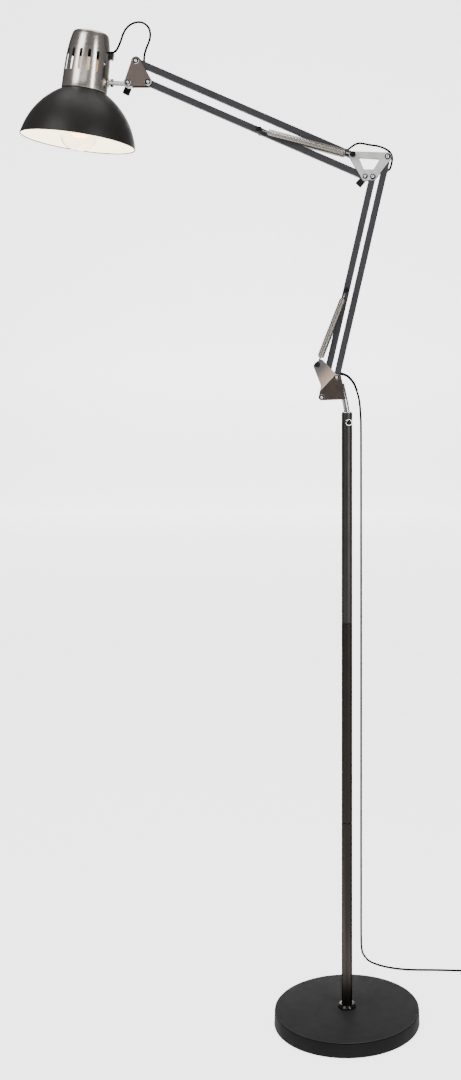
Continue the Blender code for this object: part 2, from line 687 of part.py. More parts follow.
def make_upper_arm():
    bar("upper_arm_bar", HEAD_HIGH, UPPER_PIVOT, "upper_arm", eye=BAR_EYE_RADIUS, lead_holes=UPPER_LEAD_HOLES)
    bar("upper_link_bar", UPPER_LINK_PIVOT, HEAD_LOW, "upper_link", pin=UPPER_PIN)
    lathe("upper_spring_pin", pin_profile(), "black", "upper_link", across(UPPER_PIN), steps=12)
    spring_pair("upper_spring", UPPER_PIVOT, UPPER_PIN, "upper_spring", "upper_spring_head")


def make_head_bracket():
    outline = hull([(HEAD_HIGH, 0.0075), (HEAD_LOW, 0.0070), (TILT_PIVOT, 0.0065)])
    plates("head_plate", outline, (HEAD_HIGH, HEAD_LOW, TILT_PIVOT), "head_bracket")
    bolt("head_high_bolt", HEAD_HIGH, "head_bracket", head_radius=0.0060)
    bolt("head_low_bolt", HEAD_LOW, "head_bracket", head_radius=0.0064)
    one_sided_bolt("tilt_bolt", TILT_PIVOT, "head_bracket")
    wing_nut("head_wing_nut", TILT_PIVOT, "head_wing_nut", math.radians(-62))


def make_yoke():
    """The rod that carries the head, with a flat eye on the tilt bolt."""
    eye = lathe("head_rod", [(0, 0.004), (ROD_RADIUS, 0.004), (ROD_RADIUS, ROD_LENGTH), (0, ROD_LENGTH)],
                "nickel", "yoke", along(ROD_START, ROD_DIRECTION), steps=20)
    half = PLATE_INNER - 2 * GAP
    disc = prism_bmesh(circle(TILT_PIVOT, 0.0082, 24), [], -half, half)
    combine(eye, from_bmesh("rod_eye", disc, "nickel", "yoke"), "UNION")
    drill = prism_bmesh(circle(TILT_PIVOT, BOLT_RADIUS + RUNNING, 16), [], -0.02, 0.02)
    combine(eye, from_bmesh("rod_eye_hole", drill, "nickel", "yoke"), "DIFFERENCE")


# ---- head -----------------------------------------------------------------------------------


def dome_arc(offset, steps):
    """The dome's wall as (radius, height) points, from its top to its rim, offset outwards."""
    cx, cz = DOME_ARC_CENTRE
    radius = DOME_ARC_RADIUS + offset
    first = math.acos((DOME_TOP_RADIUS - cx) / radius)
    last = math.asin((-DOME_DEPTH - cz) / radius)
    return [
        (cx + radius * math.cos(t), cz + radius * math.sin(t))
        for t in (first + (last - first) * k / steps for k in range(steps + 1))
    ]


def make_shade():
    outer, inner = dome_arc(0.0, 6), dome_arc(-DOME_WALL, 6)
    hole = HOLDER_RADIUS + RUNNING + 0.0004
    profile = [(hole, outer[0][1]), *outer, *inner[::-1], (hole, inner[0][1])]
    lathe("shade", profile, "charcoal", "head", HEAD_FRAME, steps=36)


def make_cap():
    outer = [*CAP_OUTLINE, *CAP_CORNER]
    outer = [(outer[0][0], SEAM), *outer[1:]]
    inner = [(r - CAP_WALL, min(z, CAP_HEIGHT - CAP_WALL)) for r, z in outer[::2]]
    hole = BUTTON_RADIUS + RUNNING + 0.0006
    profile = [*outer, (hole, CAP_HEIGHT), (hole, CAP_HEIGHT - CAP_WALL), *inner[::-1]]
    cap = lathe("cap", profile, "nickel", "head", HEAD_FRAME, steps=32)
    slots = bmesh.new()
    for k in range(SLOT_COUNT):
        angle = SLOT_MIDDLE + (k - (SLOT_COUNT - 1) / 2) * SLOT_PITCH
        outline = bar_outline((0, SLOT_SPAN[0]), (0, SLOT_SPAN[1]), SLOT_HALF_WIDTH)[::3]
        one = prism_bmesh(outline, [], -0.046, -0.026)
        bmesh.ops.rotate(one, verts=one.verts, matrix=Matrix.Rotation(angle + math.pi / 2, 3, "Z"))
        holder = bpy.data.meshes.new("slot")
        one.to_mesh(holder)
        one.free()
        slots.from_mesh(holder)
        bpy.data.meshes.remove(holder)
    combine(cap, from_bmesh("cap_slots", slots, "nickel", "head", HEAD_FRAME), "DIFFERENCE")
    lead_hole = lathe("cap_lead_hole", [(0, 0.02), (0.0026, 0.02), (0.0026, 0.06), (0, 0.06)], "nickel", "head",
                      along((-0.4500, 0, 1.6757), (1, 0, 0)), steps=14)
    combine(cap, lead_hole, "DIFFERENCE")
    rod_hole = lathe("cap_rod_hole", [(0, 0.02), (0.0048, 0.02), (0.0048, 0.06), (0, 0.06)], "nickel", "head",
                     along(ROD_START, ROD_DIRECTION), steps=18)
    combine(cap, rod_hole, "DIFFERENCE")


def make_lamp():
    """Lamp holder, its ring nut, and the bulb."""
    flange = -DOME_WALL - GAP
    step = 0.0235
    holder = [
        (0.0150, -0.0140), (HOLDER_RADIUS, -0.0140), (HOLDER_RADIUS, SEAM + 0.0002), (step, SEAM + 0.0002),
        (step, 0.0040), (HOLDER_RADIUS, 0.0060), (HOLDER_RADIUS, 0.0400), (0.0150, 0.0470),
        (0, 0.0470), (0, 0.0300), (0.0150, 0.0290),
    ]
    lathe("lamp_holder", holder, "black", "head", HEAD_FRAME, steps=20)
    inner = HOLDER_RADIUS + RUNNING
    ring = [(inner, flange), (0.0250, flange), (0.0240, flange - 0.0070), (inner, flange - 0.0070)]
    lathe("shade_ring", ring, "black", "head", HEAD_FRAME, steps=20)
    screw_base = [
        (0.0020, 0.0265), (0.0060, 0.0260), (0.0130, 0.0200), (0.0130, -0.0080), (0.0136, -0.0145),
        (0.0128, -0.0145), (0.0122, -0.0080), (0.0122, 0.0192), (0.0020, 0.0240),
    ]
    lathe("bulb_cap", screw_base, "brass", "head", HEAD_FRAME, steps=20)
    glass = []
    for k in range(8):
        angle = math.radians(-90 + 150 * k / 7)
        glass.append((BULB_RADIUS * math.cos(angle), -BULB_DROP + BULB_RADIUS * math.sin(angle)))
    glass[0] = (0, -BULB_DROP - BULB_RADIUS)
    glass += [(BULB_NECK + 0.0006, -0.0330), (BULB_NECK, -0.0148)]
    inside = [(max(r - 0.0009, 0), z + (0.0009 if r < 1e-6 else 0)) for r, z in glass[::-2]]
    lathe("bulb_glass", glass + inside, "glass", "head", HEAD_FRAME, steps=20)


def make_head_fittings():
    size = GROMMET_SIZE
    wall = 0.0372
    block = prism_bmesh(
        rounded([(x, GROMMET_HEIGHT + z, 0.0012) for x, z in (
            (wall, -size[2] / 2), (wall + size[0], -size[2] / 2),
            (wall + size[0], size[2] / 2), (wall - 0.0004, size[2] / 2))], steps=3),
        [], -size[1] / 2, size[1] / 2)
    grommet = from_bmesh("cord_grommet", block, "black", "head", HEAD_FRAME)
    drill = lathe("grommet_hole", [(0, 0.02), (0.0027, 0.02), (0.0027, 0.06), (0, 0.06)], "black", "head",
                  along((-0.4500, 0, 1.6757), (1, 0, 0)), steps=14)
    combine(grommet, drill, "DIFFERENCE")
    reach = 0.0400
    collar = [(ROD_RADIUS + RUNNING, 0), (0.0066, 0), (0.0066, 0.0042), (0.0058, 0.0050), (ROD_RADIUS + RUNNING, 0.0050)]
    seat = HEAD_FRAME @ Vector((reach, 0, 0.0205))
    distance = (seat - ROD_START).dot(ROD_DIRECTION)
    lathe("rod_collar", collar, "chrome", "head",
          along(ROD_START + ROD_DIRECTION * distance, -ROD_DIRECTION), steps=12)
    top, seat_height = CAP_HEIGHT, CAP_HEIGHT - CAP_WALL - GAP
    button = [
        (0, seat_height - 0.0040), (BUTTON_RADIUS + 0.0020, seat_height - 0.0040),
        (BUTTON_RADIUS + 0.0020, seat_height - 0.0022), (BUTTON_RADIUS, seat_height - 0.0022),
        (BUTTON_RADIUS, top + 0.0030), (BUTTON_RADIUS - 0.0010, top + 0.0038), (0, top + 0.0041),
    ]
    lathe("push_button", button, "black", "switch", HEAD_FRAME, steps=16)


# ---- leads ----------------------------------------------------------------------------------


def make_leads():
    tube("head_lead", smooth_route(in_plane(HEAD_LEAD_ROUTE), 0.0065), CORD_RADIUS, "cable", "head")
    upper, lower = (HEAD_HIGH, UPPER_PIVOT), (ELBOW_HIGH, LOWER_ARM_PIVOT)
    into_upper = [beside(*upper, d, o) for d, o in ((0.0121, 0.0055), (0.0129, 0.0032), (0.0152, 0.0012), (0.0200, 0.0))]
    over_elbow = [beside(*upper, d, o) for d, o in ((0.3880, 0.0), (0.3922, 0.0018), (0.3956, 0.0049))]
    into_lower = [beside(*lower, d, o) for d, o in ((0.0196, 0.0085), (0.0232, 0.0050), (0.0268, 0.0018), (0.0340, 0.0))]
    elbow = smooth_route(in_plane([*over_elbow, *ELBOW_ROUTE, *into_lower]), 0.0050)
    end = in_plane([beside(*lower, 0.3770, 0.0)])
    tube("arm_lead", [*smooth_route(in_plane(into_upper), 0.0022), *elbow, *end], CORD_RADIUS, "cable", "upper_arm")
    out_of_lower = [beside(*lower, d, o) for d, o in ((0.3776, 0.0), (0.3803, 0.0008), (0.3824, 0.0030), (0.3833, 0.0056))]
    relief = smooth_route(in_plane([*out_of_lower, *EXIT_ROUTE]), 0.0030)
    tube("lead_strain_relief", relief, CORD_RADIUS * 1.35, "cable", "lower_arm", taper=1.08 / 1.35)
    tube("mains_cord", smooth_route(CORD_ROUTE, 0.0210), CORD_RADIUS, "cable", "stand")
    place = Matrix.Translation((COIL_CENTRE[0], COIL_CENTRE[1], 0))
    low, high, soft = COIL_BOTTOM, COIL_TOP, 0.0018
    ring = [
        (COIL_INNER, low + soft), (COIL_INNER + soft, low), (COIL_OUTER - soft, low), (COIL_OUTER, low + soft),
        (COIL_OUTER, high - soft), (COIL_OUTER - soft, high), (COIL_INNER + soft, high), (COIL_INNER, high - soft),
    ]
    lathe("cord_coil", ring, "cable", "stand", place, steps=24)


def make_tie():
    """A flat band round the coil's turns."""
    out, thick, half = 0.0006, 0.0005, 0.0025
    inner = [
        (COIL_INNER - out, COIL_BOTTOM - out), (COIL_OUTER + out, COIL_BOTTOM - out),
        (COIL_OUTER + out, COIL_TOP + out), (COIL_INNER - out, COIL_TOP + out),
    ]
    grown = [
        (COIL_INNER - out - thick, COIL_BOTTOM - out - thick), (COIL_OUTER + out + thick, COIL_BOTTOM - out - thick),
        (COIL_OUTER + out + thick, COIL_TOP + out + thick), (COIL_INNER - out - thick, COIL_TOP + out + thick),
    ]
    turned = Matrix.Translation((*COIL_CENTRE, 0)) @ Matrix.Rotation(math.radians(100), 4, "Z")
    from_bmesh("cord_tie", prism_bmesh(grown, [inner], -half, half), "cable", "stand", turned)


def make_plug():
    """A flat two-pin plug beside the coil: a stub of cord that meets the coil, a tapered tail and the body."""
    stub = [(0, -PLUG_STUB), (CORD_RADIUS, -PLUG_STUB), (CORD_RADIUS, 0)]
    tail = [*stub, (0.0024, 0), (0.0044, 0.0240), (0.0048, 0.0300), (0, 0.0300)]
    frame = along(PLUG_START, (0, 1, 0))
    plug = lathe("plug", tail, "cable", "stand", frame, steps=16)
    outline = rounded([
        (-0.0070, 0.0240, 0.0030), (0.0070, 0.0240, 0.0030), (0.0172, 0.0400, 0.0060),
        (0.0150, 0.0620, 0.0020), (-0.0150, 0.0620, 0.0020), (-0.0172, 0.0400, 0.0060),
    ], steps=2)
    body = prism_bmesh(outline, [], -0.0062, 0.0062)
    combine(plug, from_bmesh("plug_body", body, "cable", "stand", frame), "UNION")
    for side in (-1, 1):
        pin = [(0, 0.0600), (0.0020, 0.0600), (0.0020, 0.0795), (0.0012, 0.0810), (0, 0.0810)]
        pin_frame = frame @ Matrix.Translation((side * 0.0095, 0, 0))
        combine(plug, lathe(f"plug_pin_{side + 1}", pin, "cable", "stand", pin_frame, steps=12), "UNION")


def main():
    make_base()
    make_pole()
    make_pole_top()
    make_swivel()
    make_lower_arm()
    make_elbow()
    make_upper_arm()
    make_head_bracket()
    make_yoke()
    make_shade()
    make_cap()
    make_lamp()
    make_head_fittings()
    make_leads()
    make_tie()
    make_plug()


clear_scene()
MATERIALS = make_materials()
BODIES = make_bodies()
main()
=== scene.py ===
import math

import bmesh
import bpy
from mathutils import Matrix, Vector


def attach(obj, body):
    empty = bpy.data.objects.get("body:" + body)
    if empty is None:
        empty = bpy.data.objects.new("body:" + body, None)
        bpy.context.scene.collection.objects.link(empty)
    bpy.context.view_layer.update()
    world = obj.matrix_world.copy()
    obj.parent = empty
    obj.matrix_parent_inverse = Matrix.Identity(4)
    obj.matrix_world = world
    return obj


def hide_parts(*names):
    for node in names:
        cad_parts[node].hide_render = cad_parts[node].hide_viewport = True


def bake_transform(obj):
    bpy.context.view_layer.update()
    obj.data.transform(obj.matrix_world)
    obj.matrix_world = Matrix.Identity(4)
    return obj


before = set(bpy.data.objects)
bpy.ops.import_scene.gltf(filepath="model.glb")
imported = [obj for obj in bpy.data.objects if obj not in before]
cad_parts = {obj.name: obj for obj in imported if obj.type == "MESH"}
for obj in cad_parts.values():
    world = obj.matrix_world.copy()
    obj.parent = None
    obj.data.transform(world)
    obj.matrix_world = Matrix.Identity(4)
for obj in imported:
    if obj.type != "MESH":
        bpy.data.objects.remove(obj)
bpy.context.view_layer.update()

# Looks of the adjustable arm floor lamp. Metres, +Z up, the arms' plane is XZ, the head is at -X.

# ---- dimensions, as in the CAD --------------------------------------------------------------

BASE_RADIUS, BASE_HEIGHT = 0.125, 0.0260
POLE_RADIUS, POLE_TOP = 0.0092, 1.0536
POLE_JOINTS = (0.3450, 0.6900)
LOWER_PIVOT, LOWER_LINK, LOWER_REACH = (-0.0436, 1.0805), (0.0258, 0.0345), (0.0878, 0.3811)
UPPER_PIVOT, UPPER_LINK, UPPER_REACH = (0.0100, 1.4986), (0.0210, -0.0364), (-0.3745, 0.1624)
TILT_PIVOT, LOWER_STUD = (-0.3782, 1.6239), (-0.0510, 1.1368)
LOWER_PIN_SHARE, UPPER_PIN_SHARE = 0.483, 0.486
BAR_HALF, PLATE_INNER, PLATE_OUTER = 0.0056, 0.0059, 0.0075
BOLT_RADIUS = 0.0024
SPRING_PLANE, SPRING_RADIUS, SPRING_SHANK = 0.0137, 0.0058, 0.0150
EAR_CREASE = ((-0.0436, 1.0948), (-0.0196, 1.1203))
EAR_SLOPE = math.tan(math.radians(5))
HEAD_JOINT, HEAD_LEAN = (-0.4550, 1.6095), math.radians(7)
HEAD = Matrix.Translation((HEAD_JOINT[0], 0, HEAD_JOINT[1])) @ Matrix.Rotation(HEAD_LEAN, 4, "Y")
DOME_ARC_CENTRE, DOME_ARC_RADIUS, DOME_DEPTH = (-0.0276, -0.1106), 0.1286, 0.0880
DOME_NECK, DOME_RIM = 0.0380, 0.0012
CAP_HEIGHT = 0.1020
BULB_RADIUS, BULB_DROP = 0.0340, 0.0700
ROD_START = Vector((TILT_PIVOT[0], 0, TILT_PIVOT[1] - 0.0012))
ROD_DIRECTION = Vector((-math.cos(math.radians(3)), 0, math.sin(math.radians(3))))
GAP, SHEET = 0.0003, 0.0012
CORD_RADIUS = 0.0019
COIL_CENTRE, PLUG_START = (0.2620, 0.2140), Vector((0.2872, 0.2330, 0.0066))

HEAD_LEAD_ROUTE = (
    (-0.4480, 1.6640), (-0.4455, 1.6705), (-0.4380, 1.6748), (-0.4270, 1.6757), (-0.4150, 1.6757),
    (-0.4045, 1.6759), (-0.3985, 1.6800), (-0.3940, 1.6885), (-0.3903, 1.6985), (-0.3870, 1.7090),
    (-0.3818, 1.7188), (-0.3742, 1.7261), (-0.3650, 1.7300), (-0.3560, 1.7301), (-0.3476, 1.7258),
    (-0.3424, 1.7175), (-0.3412, 1.7070), (-0.3434, 1.6965), (-0.3472, 1.6868), (-0.3500, 1.6770),
    (-0.3511, 1.6690), (-0.3511, 1.6617),
)
ELBOW_ROUTE = (
    (0.0059, 1.5123), (0.0140, 1.5180), (0.0222, 1.5202), (0.0330, 1.5185), (0.0425, 1.5168),
    (0.0520, 1.5155), (0.0630, 1.5121), (0.0712, 1.5074), (0.0764, 1.5016), (0.0782, 1.4945),
    (0.0776, 1.4868), (0.0760, 1.4806),
)
EXIT_ROUTE = (
    (-0.0042, 1.1196), (0.0010, 1.1170), (0.0058, 1.1126), (0.0104, 1.1068), (0.0144, 1.0993),
    (0.0176, 1.0900),
)
CORD_ROUTE = (
    (0.0176, 0.0000, 1.0897), (0.0202, 0.0005, 1.0801), (0.0223, 0.0012, 1.0668),
    (0.0235, 0.0024, 1.0500), (0.0242, 0.0050, 1.0300), (0.0244, 0.0096, 0.9500),
    (0.0245, 0.0158, 0.8500), (0.0246, 0.0267, 0.7000), (0.0247, 0.0399, 0.5500),
    (0.0248, 0.0570, 0.4000), (0.0249, 0.0753, 0.2800), (0.0251, 0.0942, 0.1900),
    (0.0252, 0.1120, 0.1250), (0.0258, 0.1285, 0.0800), (0.0279, 0.1480, 0.0560),
    (0.0329, 0.1663, 0.0395), (0.0415, 0.1830, 0.0235), (0.0586, 0.1950, 0.0112),
    (0.0778, 0.1973, 0.0055), (0.0972, 0.1968, 0.0030), (0.1163, 0.1952, 0.0021),
    (0.1450, 0.1944, 0.0020), (0.1750, 0.1936, 0.0020), (0.2150, 0.1914, 0.0020), (0.2458, 0.1906, 0.0026),
)

# ---- for the looks only ---------------------------------------------------------------------

SPRING_WIRE, SPRING_PITCH, SPRING_LOOP = 0.00115, 0.0025, 0.0034
# The strip along the ear's crease that carries a painted highlight.
CREASE_LOW, CREASE_HIGH = -0.0003, 0.0011
PAPER_GLOW, PAPER_EDGE_GLOW = 3.0, 0.35
# For each stretch of a bolt head's outline, from the washer inwards: 0 is metal, 1 is painted shadow, on the
# washer's rim and in the groove.
BOLT_PAINT = (0, 1, 0, 0, 1, 1, 1, 0, 0, 0, 0, 0, 0)


# ---- small geometry -------------------------------------------------------------------------


def add2(p, q, share=1.0):
    return (p[0] + share * q[0], p[1] + share * q[1])


LOWER_ARM_PIVOT = add2(LOWER_PIVOT, LOWER_LINK)
ELBOW_LOW = add2(LOWER_PIVOT, LOWER_REACH)
ELBOW_HIGH = add2(ELBOW_LOW, LOWER_LINK)
UPPER_LINK_PIVOT = add2(UPPER_PIVOT, UPPER_LINK)
HEAD_HIGH = add2(UPPER_PIVOT, UPPER_REACH)
HEAD_LOW = add2(UPPER_LINK_PIVOT, UPPER_REACH)
LOWER_PIN = add2(LOWER_PIVOT, LOWER_REACH, LOWER_PIN_SHARE)
UPPER_PIN = add2(UPPER_LINK_PIVOT, UPPER_REACH, UPPER_PIN_SHARE)


def circle(centre, radius, steps):
    angles = (2 * math.pi * k / steps for k in range(steps))
    return [(centre[0] + radius * math.cos(t), centre[1] + radius * math.sin(t)) for t in angles]


def rectangle(left, low, right, high):
    return [(left, low), (right, low), (right, high), (left, high)]


def domed(radius, rise, foot):
    """A dome's outline from its rim almost to its middle."""
    angles = (math.pi / 2 * k / 6 for k in range(6))
    return [(radius * math.cos(t), foot + rise * math.sin(t)) for t in angles]


def turn(a, b, c):
    return (b[0] - a[0]) * (c[1] - a[1]) - (b[1] - a[1]) * (c[0] - a[0])


def hull(circles):
    """The convex outline round the circles, each (centre, radius)."""
    points = sorted(p for centre, radius in circles for p in circle(centre, radius, 72))

    def half(ordered):
        chain = []
        for p in ordered:
            while len(chain) > 1 and turn(chain[-2], chain[-1], p) <= 0:
                chain.pop()
            chain.append(p)
        return chain[:-1]

    return half(points) + half(points[::-1])


def rounded(corners, steps=8):
    """A polygon's outline with each corner, given as (x, z, radius), rounded by an arc."""
    outline = []
    for k, (x, z, radius) in enumerate(corners):
        here = Vector((x, z))
        before = (Vector(corners[k - 1][:2]) - here).normalized()
        after = (Vector(corners[(k + 1) % len(corners)][:2]) - here).normalized()
        half_angle = before.angle(after) / 2
        middle = here + (before + after).normalized() * radius / math.sin(half_angle)
        first = here + before * radius / math.tan(half_angle) - middle
        swing = (here + after * radius / math.tan(half_angle) - middle).angle_signed(first)
        for step in range(steps + 1):
            outline.append(tuple(middle + Matrix.Rotation(swing * step / steps, 2) @ first))
    return outline


def smooth_route(points, spacing):
    """Evenly spaced points on a Catmull-Rom curve through the given points."""
    knots = [Vector(p) for p in points]
    knots = [2 * knots[0] - knots[1], *knots, 2 * knots[-1] - knots[-2]]
    fine = []
    for a, b, c, d in zip(knots, knots[1:], knots[2:], knots[3:]):
        for t in (step / 12 for step in range(12)):
            cubic = (2 * a - 5 * b + 4 * c - d) * t**2 + (3 * b - a - 3 * c + d) * t**3
            fine.append(0.5 * (2 * b + (c - a) * t + cubic))
    fine.append(knots[-2])
    lengths = [0.0]
    for a, b in zip(fine, fine[1:]):
        lengths.append(lengths[-1] + (b - a).length)
    count = max(2, round(lengths[-1] / spacing))
    route, k = [], 0
    for at in (lengths[-1] * step / count for step in range(count + 1)):
        while k < len(fine) - 2 and lengths[k + 1] < at:
            k += 1
        route.append(fine[k].lerp(fine[k + 1], (at - lengths[k]) / (lengths[k + 1] - lengths[k])))
    return route


def beside(start, end, distance, offset):
    """A point this far along a bar from its start, and this far off its axis to the left."""
    forward = (Vector(end) - Vector(start)).normalized()
    return tuple(Vector(start) + forward * distance + Vector((-forward.y, forward.x)) * offset)


def in_plane(points):
    return [(x, 0.0, z) for x, z in points]


def across(point, tilt=0.0):
    """A frame with local Z along +Y, at a point of the arms' plane."""
    place = Matrix.Translation((point[0], 0, point[1]))
    return place @ Matrix.Rotation(tilt, 4, "Y") @ Matrix.Rotation(-math.pi / 2, 4, "X")


def along(start, direction):
    """A frame with local Z along the direction."""
    turned = Vector((0, 0, 1)).rotation_difference(Vector(direction)).to_matrix().to_4x4()
    return Matrix.Translation(start) @ turned


# ---- materials ------------------------------------------------------------------------------


class Nodes:
    """A material's node tree with short ways to add and join nodes."""

    def __init__(self, name):
        self.material = bpy.data.materials.new(name)
        self.material.use_nodes = True
        self.tree = self.material.node_tree
        self.shader = self.tree.nodes["Principled BSDF"]

    def add(self, kind, **settings):
        node = self.tree.nodes.new(kind)
        for key, value in settings.items():
            setattr(node, key, value)
        return node

    def join(self, source, target):
        self.tree.links.new(source, target)

    def place(self):
        """The surface's place in the shared frame."""
        return self.add("ShaderNodeTexCoord").outputs["Object"]

    def noise(self, scale, detail=3.0, roughness=0.55, stretch=(1, 1, 1), lean=0.0):
        mapping = self.add("ShaderNodeMapping", vector_type="TEXTURE")
        mapping.inputs["Rotation"].default_value = (0, lean, 0)
        mapping.inputs["Scale"].default_value = [1 / s for s in stretch]
        texture = self.add("ShaderNodeTexNoise")
        for key, value in (("Scale", scale), ("Detail", detail), ("Roughness", roughness)):
            texture.inputs[key].default_value = value
        self.join(self.place(), mapping.inputs["Vector"])
        self.join(mapping.outputs["Vector"], texture.inputs["Vector"])
        return texture.outputs["Fac"]

    def ramp(self, source, low, high, positions=(0.3, 0.7)):
        node = self.add("ShaderNodeValToRGB")
        for element, position, colour in zip(node.color_ramp.elements, positions, (low, high)):
            element.position, element.color = position, (*colour, 1)
        self.join(source, node.inputs["Fac"])
        return node.outputs["Color"]

    def mapped(self, source, start, end, low=0.0, high=1.0, kind="LINEAR"):
        """The range from start to end carried over to the range from low to high."""
        node = self.add("ShaderNodeMapRange", interpolation_type=kind)
        limits = (("From Min", start), ("From Max", end), ("To Min", low), ("To Max", high))
        for key, value in limits:
            node.inputs[key].default_value = value
        self.join(source, node.inputs["Value"])
        return node.outputs["Result"]

    def math(self, operation, first, second=None):
        node = self.add("ShaderNodeMath", operation=operation)
        self.join(first, node.inputs[0])
        if isinstance(second, (int, float)):
            node.inputs[1].default_value = second
        elif second:
            self.join(second, node.inputs[1])
        return node.outputs[0]

    def fade(self, source, start, end):
        """From 0 at the start to 1 at the end, with soft ends."""
        return self.mapped(source, start, end, kind="SMOOTHSTEP")

    def bump(self, sources, distance):
        """Bumps laid over each other, each (height, strength)."""
        before = None
        for source, strength in sources:
            node = self.add("ShaderNodeBump")
            node.inputs["Strength"].default_value = strength
            node.inputs["Distance"].default_value = distance
            self.join(source, node.inputs["Height"])
            if before:
                self.join(before, node.inputs["Normal"])
            before = node.outputs["Normal"]
        self.join(before, self.shader.inputs["Normal"])

    def fixed(self, **values):
        for key, value in values.items():
            self.shader.inputs[key.replace("_", " ")].default_value = value
        return self

    def colour(self, source, low, high, positions=(0.3, 0.7), socket="Base Color"):
        self.join(self.ramp(source, low, high, positions), self.shader.inputs[socket])

    def roughness(self, source, low, high):
        self.join(self.mapped(source, 0.25, 0.75, low, high), self.shader.inputs["Roughness"])


def tint(colour, share):
    return tuple(min(1.0, c * share) for c in colour)


def painted(name, colour, roughness, grain, depth=0.00006, variation=0.12, **fixed):
    """Powder coat or moulded plastic: a fine pebbled skin over slow changes of tone."""
    m = Nodes(name)
    m.colour(m.noise(14.0, 4.0), tint(colour, 1 - variation), tint(colour, 1 + variation))
    m.roughness(m.noise(84.0, 3.0), roughness - 0.05, roughness + 0.07)
    m.bump(((m.noise(grain, 2.0), 0.35), (m.noise(grain * 0.23, 2.0), 0.15)), depth)
    return m.fixed(Metallic=0.0, **fixed).material


def plated(name, colour, roughness, stretch=(1, 1, 1), lean=0.0, grain=700.0, depth=0.00002,
           variation=0.05, metal=1.0, **fixed):
    """Plated or brushed metal: fine lines along the direction with the small stretch."""
    m = Nodes(name)
    lines = m.noise(grain, 3.0, 0.6, stretch, lean)
    m.colour(m.noise(25.0, 3.0), tint(colour, 1 - variation), tint(colour, 1 + variation))
    m.roughness(lines, roughness * 0.8, roughness * 1.25)
    m.bump(((lines, 0.25),), depth)
    return m.fixed(Metallic=metal, Specular_Tint=(*tint(colour, 0.45), 1), **fixed).material


def ear_painted_reflection():
    """The ear's plate with a painted reflection: tan beside the crease, greyer towards its tip."""
    m = Nodes("plate_ear_nickel_painted_reflection")
    (ax, az), (bx, bz) = EAR_CREASE
    length = math.hypot(bx - ax, bz - az)
    past = m.add("ShaderNodeVectorMath", operation="DOT_PRODUCT")
    past.inputs[1].default_value = ((az - bz) / length, 0, (bx - ax) / length)
    m.join(m.place(), past.inputs[0])
    start = (ax * (az - bz) + az * (bx - ax)) / length
    share = m.fade(past.outputs["Value"], start, start + 0.030)
    lines = m.noise(700.0, 3.0, 0.6, (1, 0.2, 0.08))
    mixed = m.math("ADD", share, m.math("MULTIPLY", m.math("SUBTRACT", lines, 0.5), 0.3))
    m.colour(mixed, (0.90, 0.68, 0.52), (0.26, 0.25, 0.25), (0.05, 0.95))
    m.roughness(lines, 0.30, 0.45)
    m.bump(((lines, 0.25),), 0.00002)
    return m.fixed(Metallic=0.8, Specular_Tint=(0.3, 0.3, 0.3, 1)).material


def lining():
    """White enamel inside the dome, with the bulb's light on it painted as a glow, brightest near the bulb.
    """
    m = Nodes("shade_lining_painted_glow")
    distance = m.add("ShaderNodeVectorMath", operation="DISTANCE")
    distance.inputs[1].default_value = HEAD @ Vector((0, 0, -BULB_DROP))
    m.join(m.place(), distance.inputs[0])
    near = m.mapped(distance.outputs["Value"], 0.048, 0.085, 1.0, 0.0)
    m.colour(near, (1.0, 0.80, 0.55), (1.0, 0.93, 0.80), (0.0, 0.6), "Emission Color")
    m.join(m.mapped(near, 0.0, 1.0, 3.2, 16.0), m.shader.inputs["Emission Strength"])
    m.colour(m.noise(30.0), (0.86, 0.84, 0.79), (0.92, 0.90, 0.85))
    m.bump(((m.noise(900.0, 2.0), 0.2),), 0.00004)
    return m.fixed(Roughness=0.4).material


def glowing(name, colour, strength):
    m = Nodes(name)
    m.colour(m.noise(300.0), tint(colour, 0.85), colour, socket="Emission Color")
    return m.fixed(Base_Color=(*colour, 1), Emission_Strength=strength).material


def clear_glass():
    m = Nodes("bulb_glass_clear")
    m.roughness(m.noise(60.0), 0.0, 0.03)
    return m.fixed(Base_Color=(1, 0.98, 0.94, 1), Transmission_Weight=1.0, IOR=1.45).material


def threaded(name, colour, pitch):
    """Woven strap: two crossed sets of ribs."""
    m = Nodes(name)
    ribs = m.noise(1 / pitch, 1.0, 0.4, (1, 1, 6))
    crossed = m.noise(1 / pitch, 1.0, 0.4, (6, 1, 1))
    m.colour(ribs, tint(colour, 0.6), tint(colour, 1.5))
    m.bump(((ribs, 0.6), (crossed, 0.5)), 0.0002)
    return m.fixed(Roughness=0.85, Sheen_Weight=0.2).material


COAT = painted("charcoal_powder", (0.0165, 0.0148, 0.0128), 0.42, 1300.0, Specular_IOR_Level=0.4)
# One powder coat in two copies: the top made lighter as painted light, the side made darker as painted shade.
BASE_TOP_LIT = painted("base_top_powder_lit", (0.040, 0.0385, 0.0395), 0.65, 1100.0, Specular_IOR_Level=0.05)
BASE_SIDE_SHADED = painted("base_side_powder_shaded", (0.009, 0.0086, 0.0088), 0.65, 1100.0, Specular_IOR_Level=0.05)
# Painted shadow, near black, for the base's groove and the bolt heads' grooves and washer rims.
GROOVE_SHADOW = painted("groove_shadow", (0.004, 0.004, 0.004), 0.9, 900.0, Specular_IOR_Level=0.0)
SLATE = painted("slate_powder", (0.052, 0.052, 0.057), 0.55, 1400.0, Specular_IOR_Level=0.2)
BLACK = painted("black_moulding", (0.006, 0.006, 0.006), 0.35, 800.0, 0.00002, Specular_IOR_Level=0.25)
GLOSS = painted("black_gloss", (0.005, 0.005, 0.005), 0.15, 500.0, 0.00001, Specular_IOR_Level=0.4)
SHEATH = painted("cable_sheath", (0.004, 0.004, 0.004), 0.6, 900.0, 0.00003, Specular_IOR_Level=0.03)
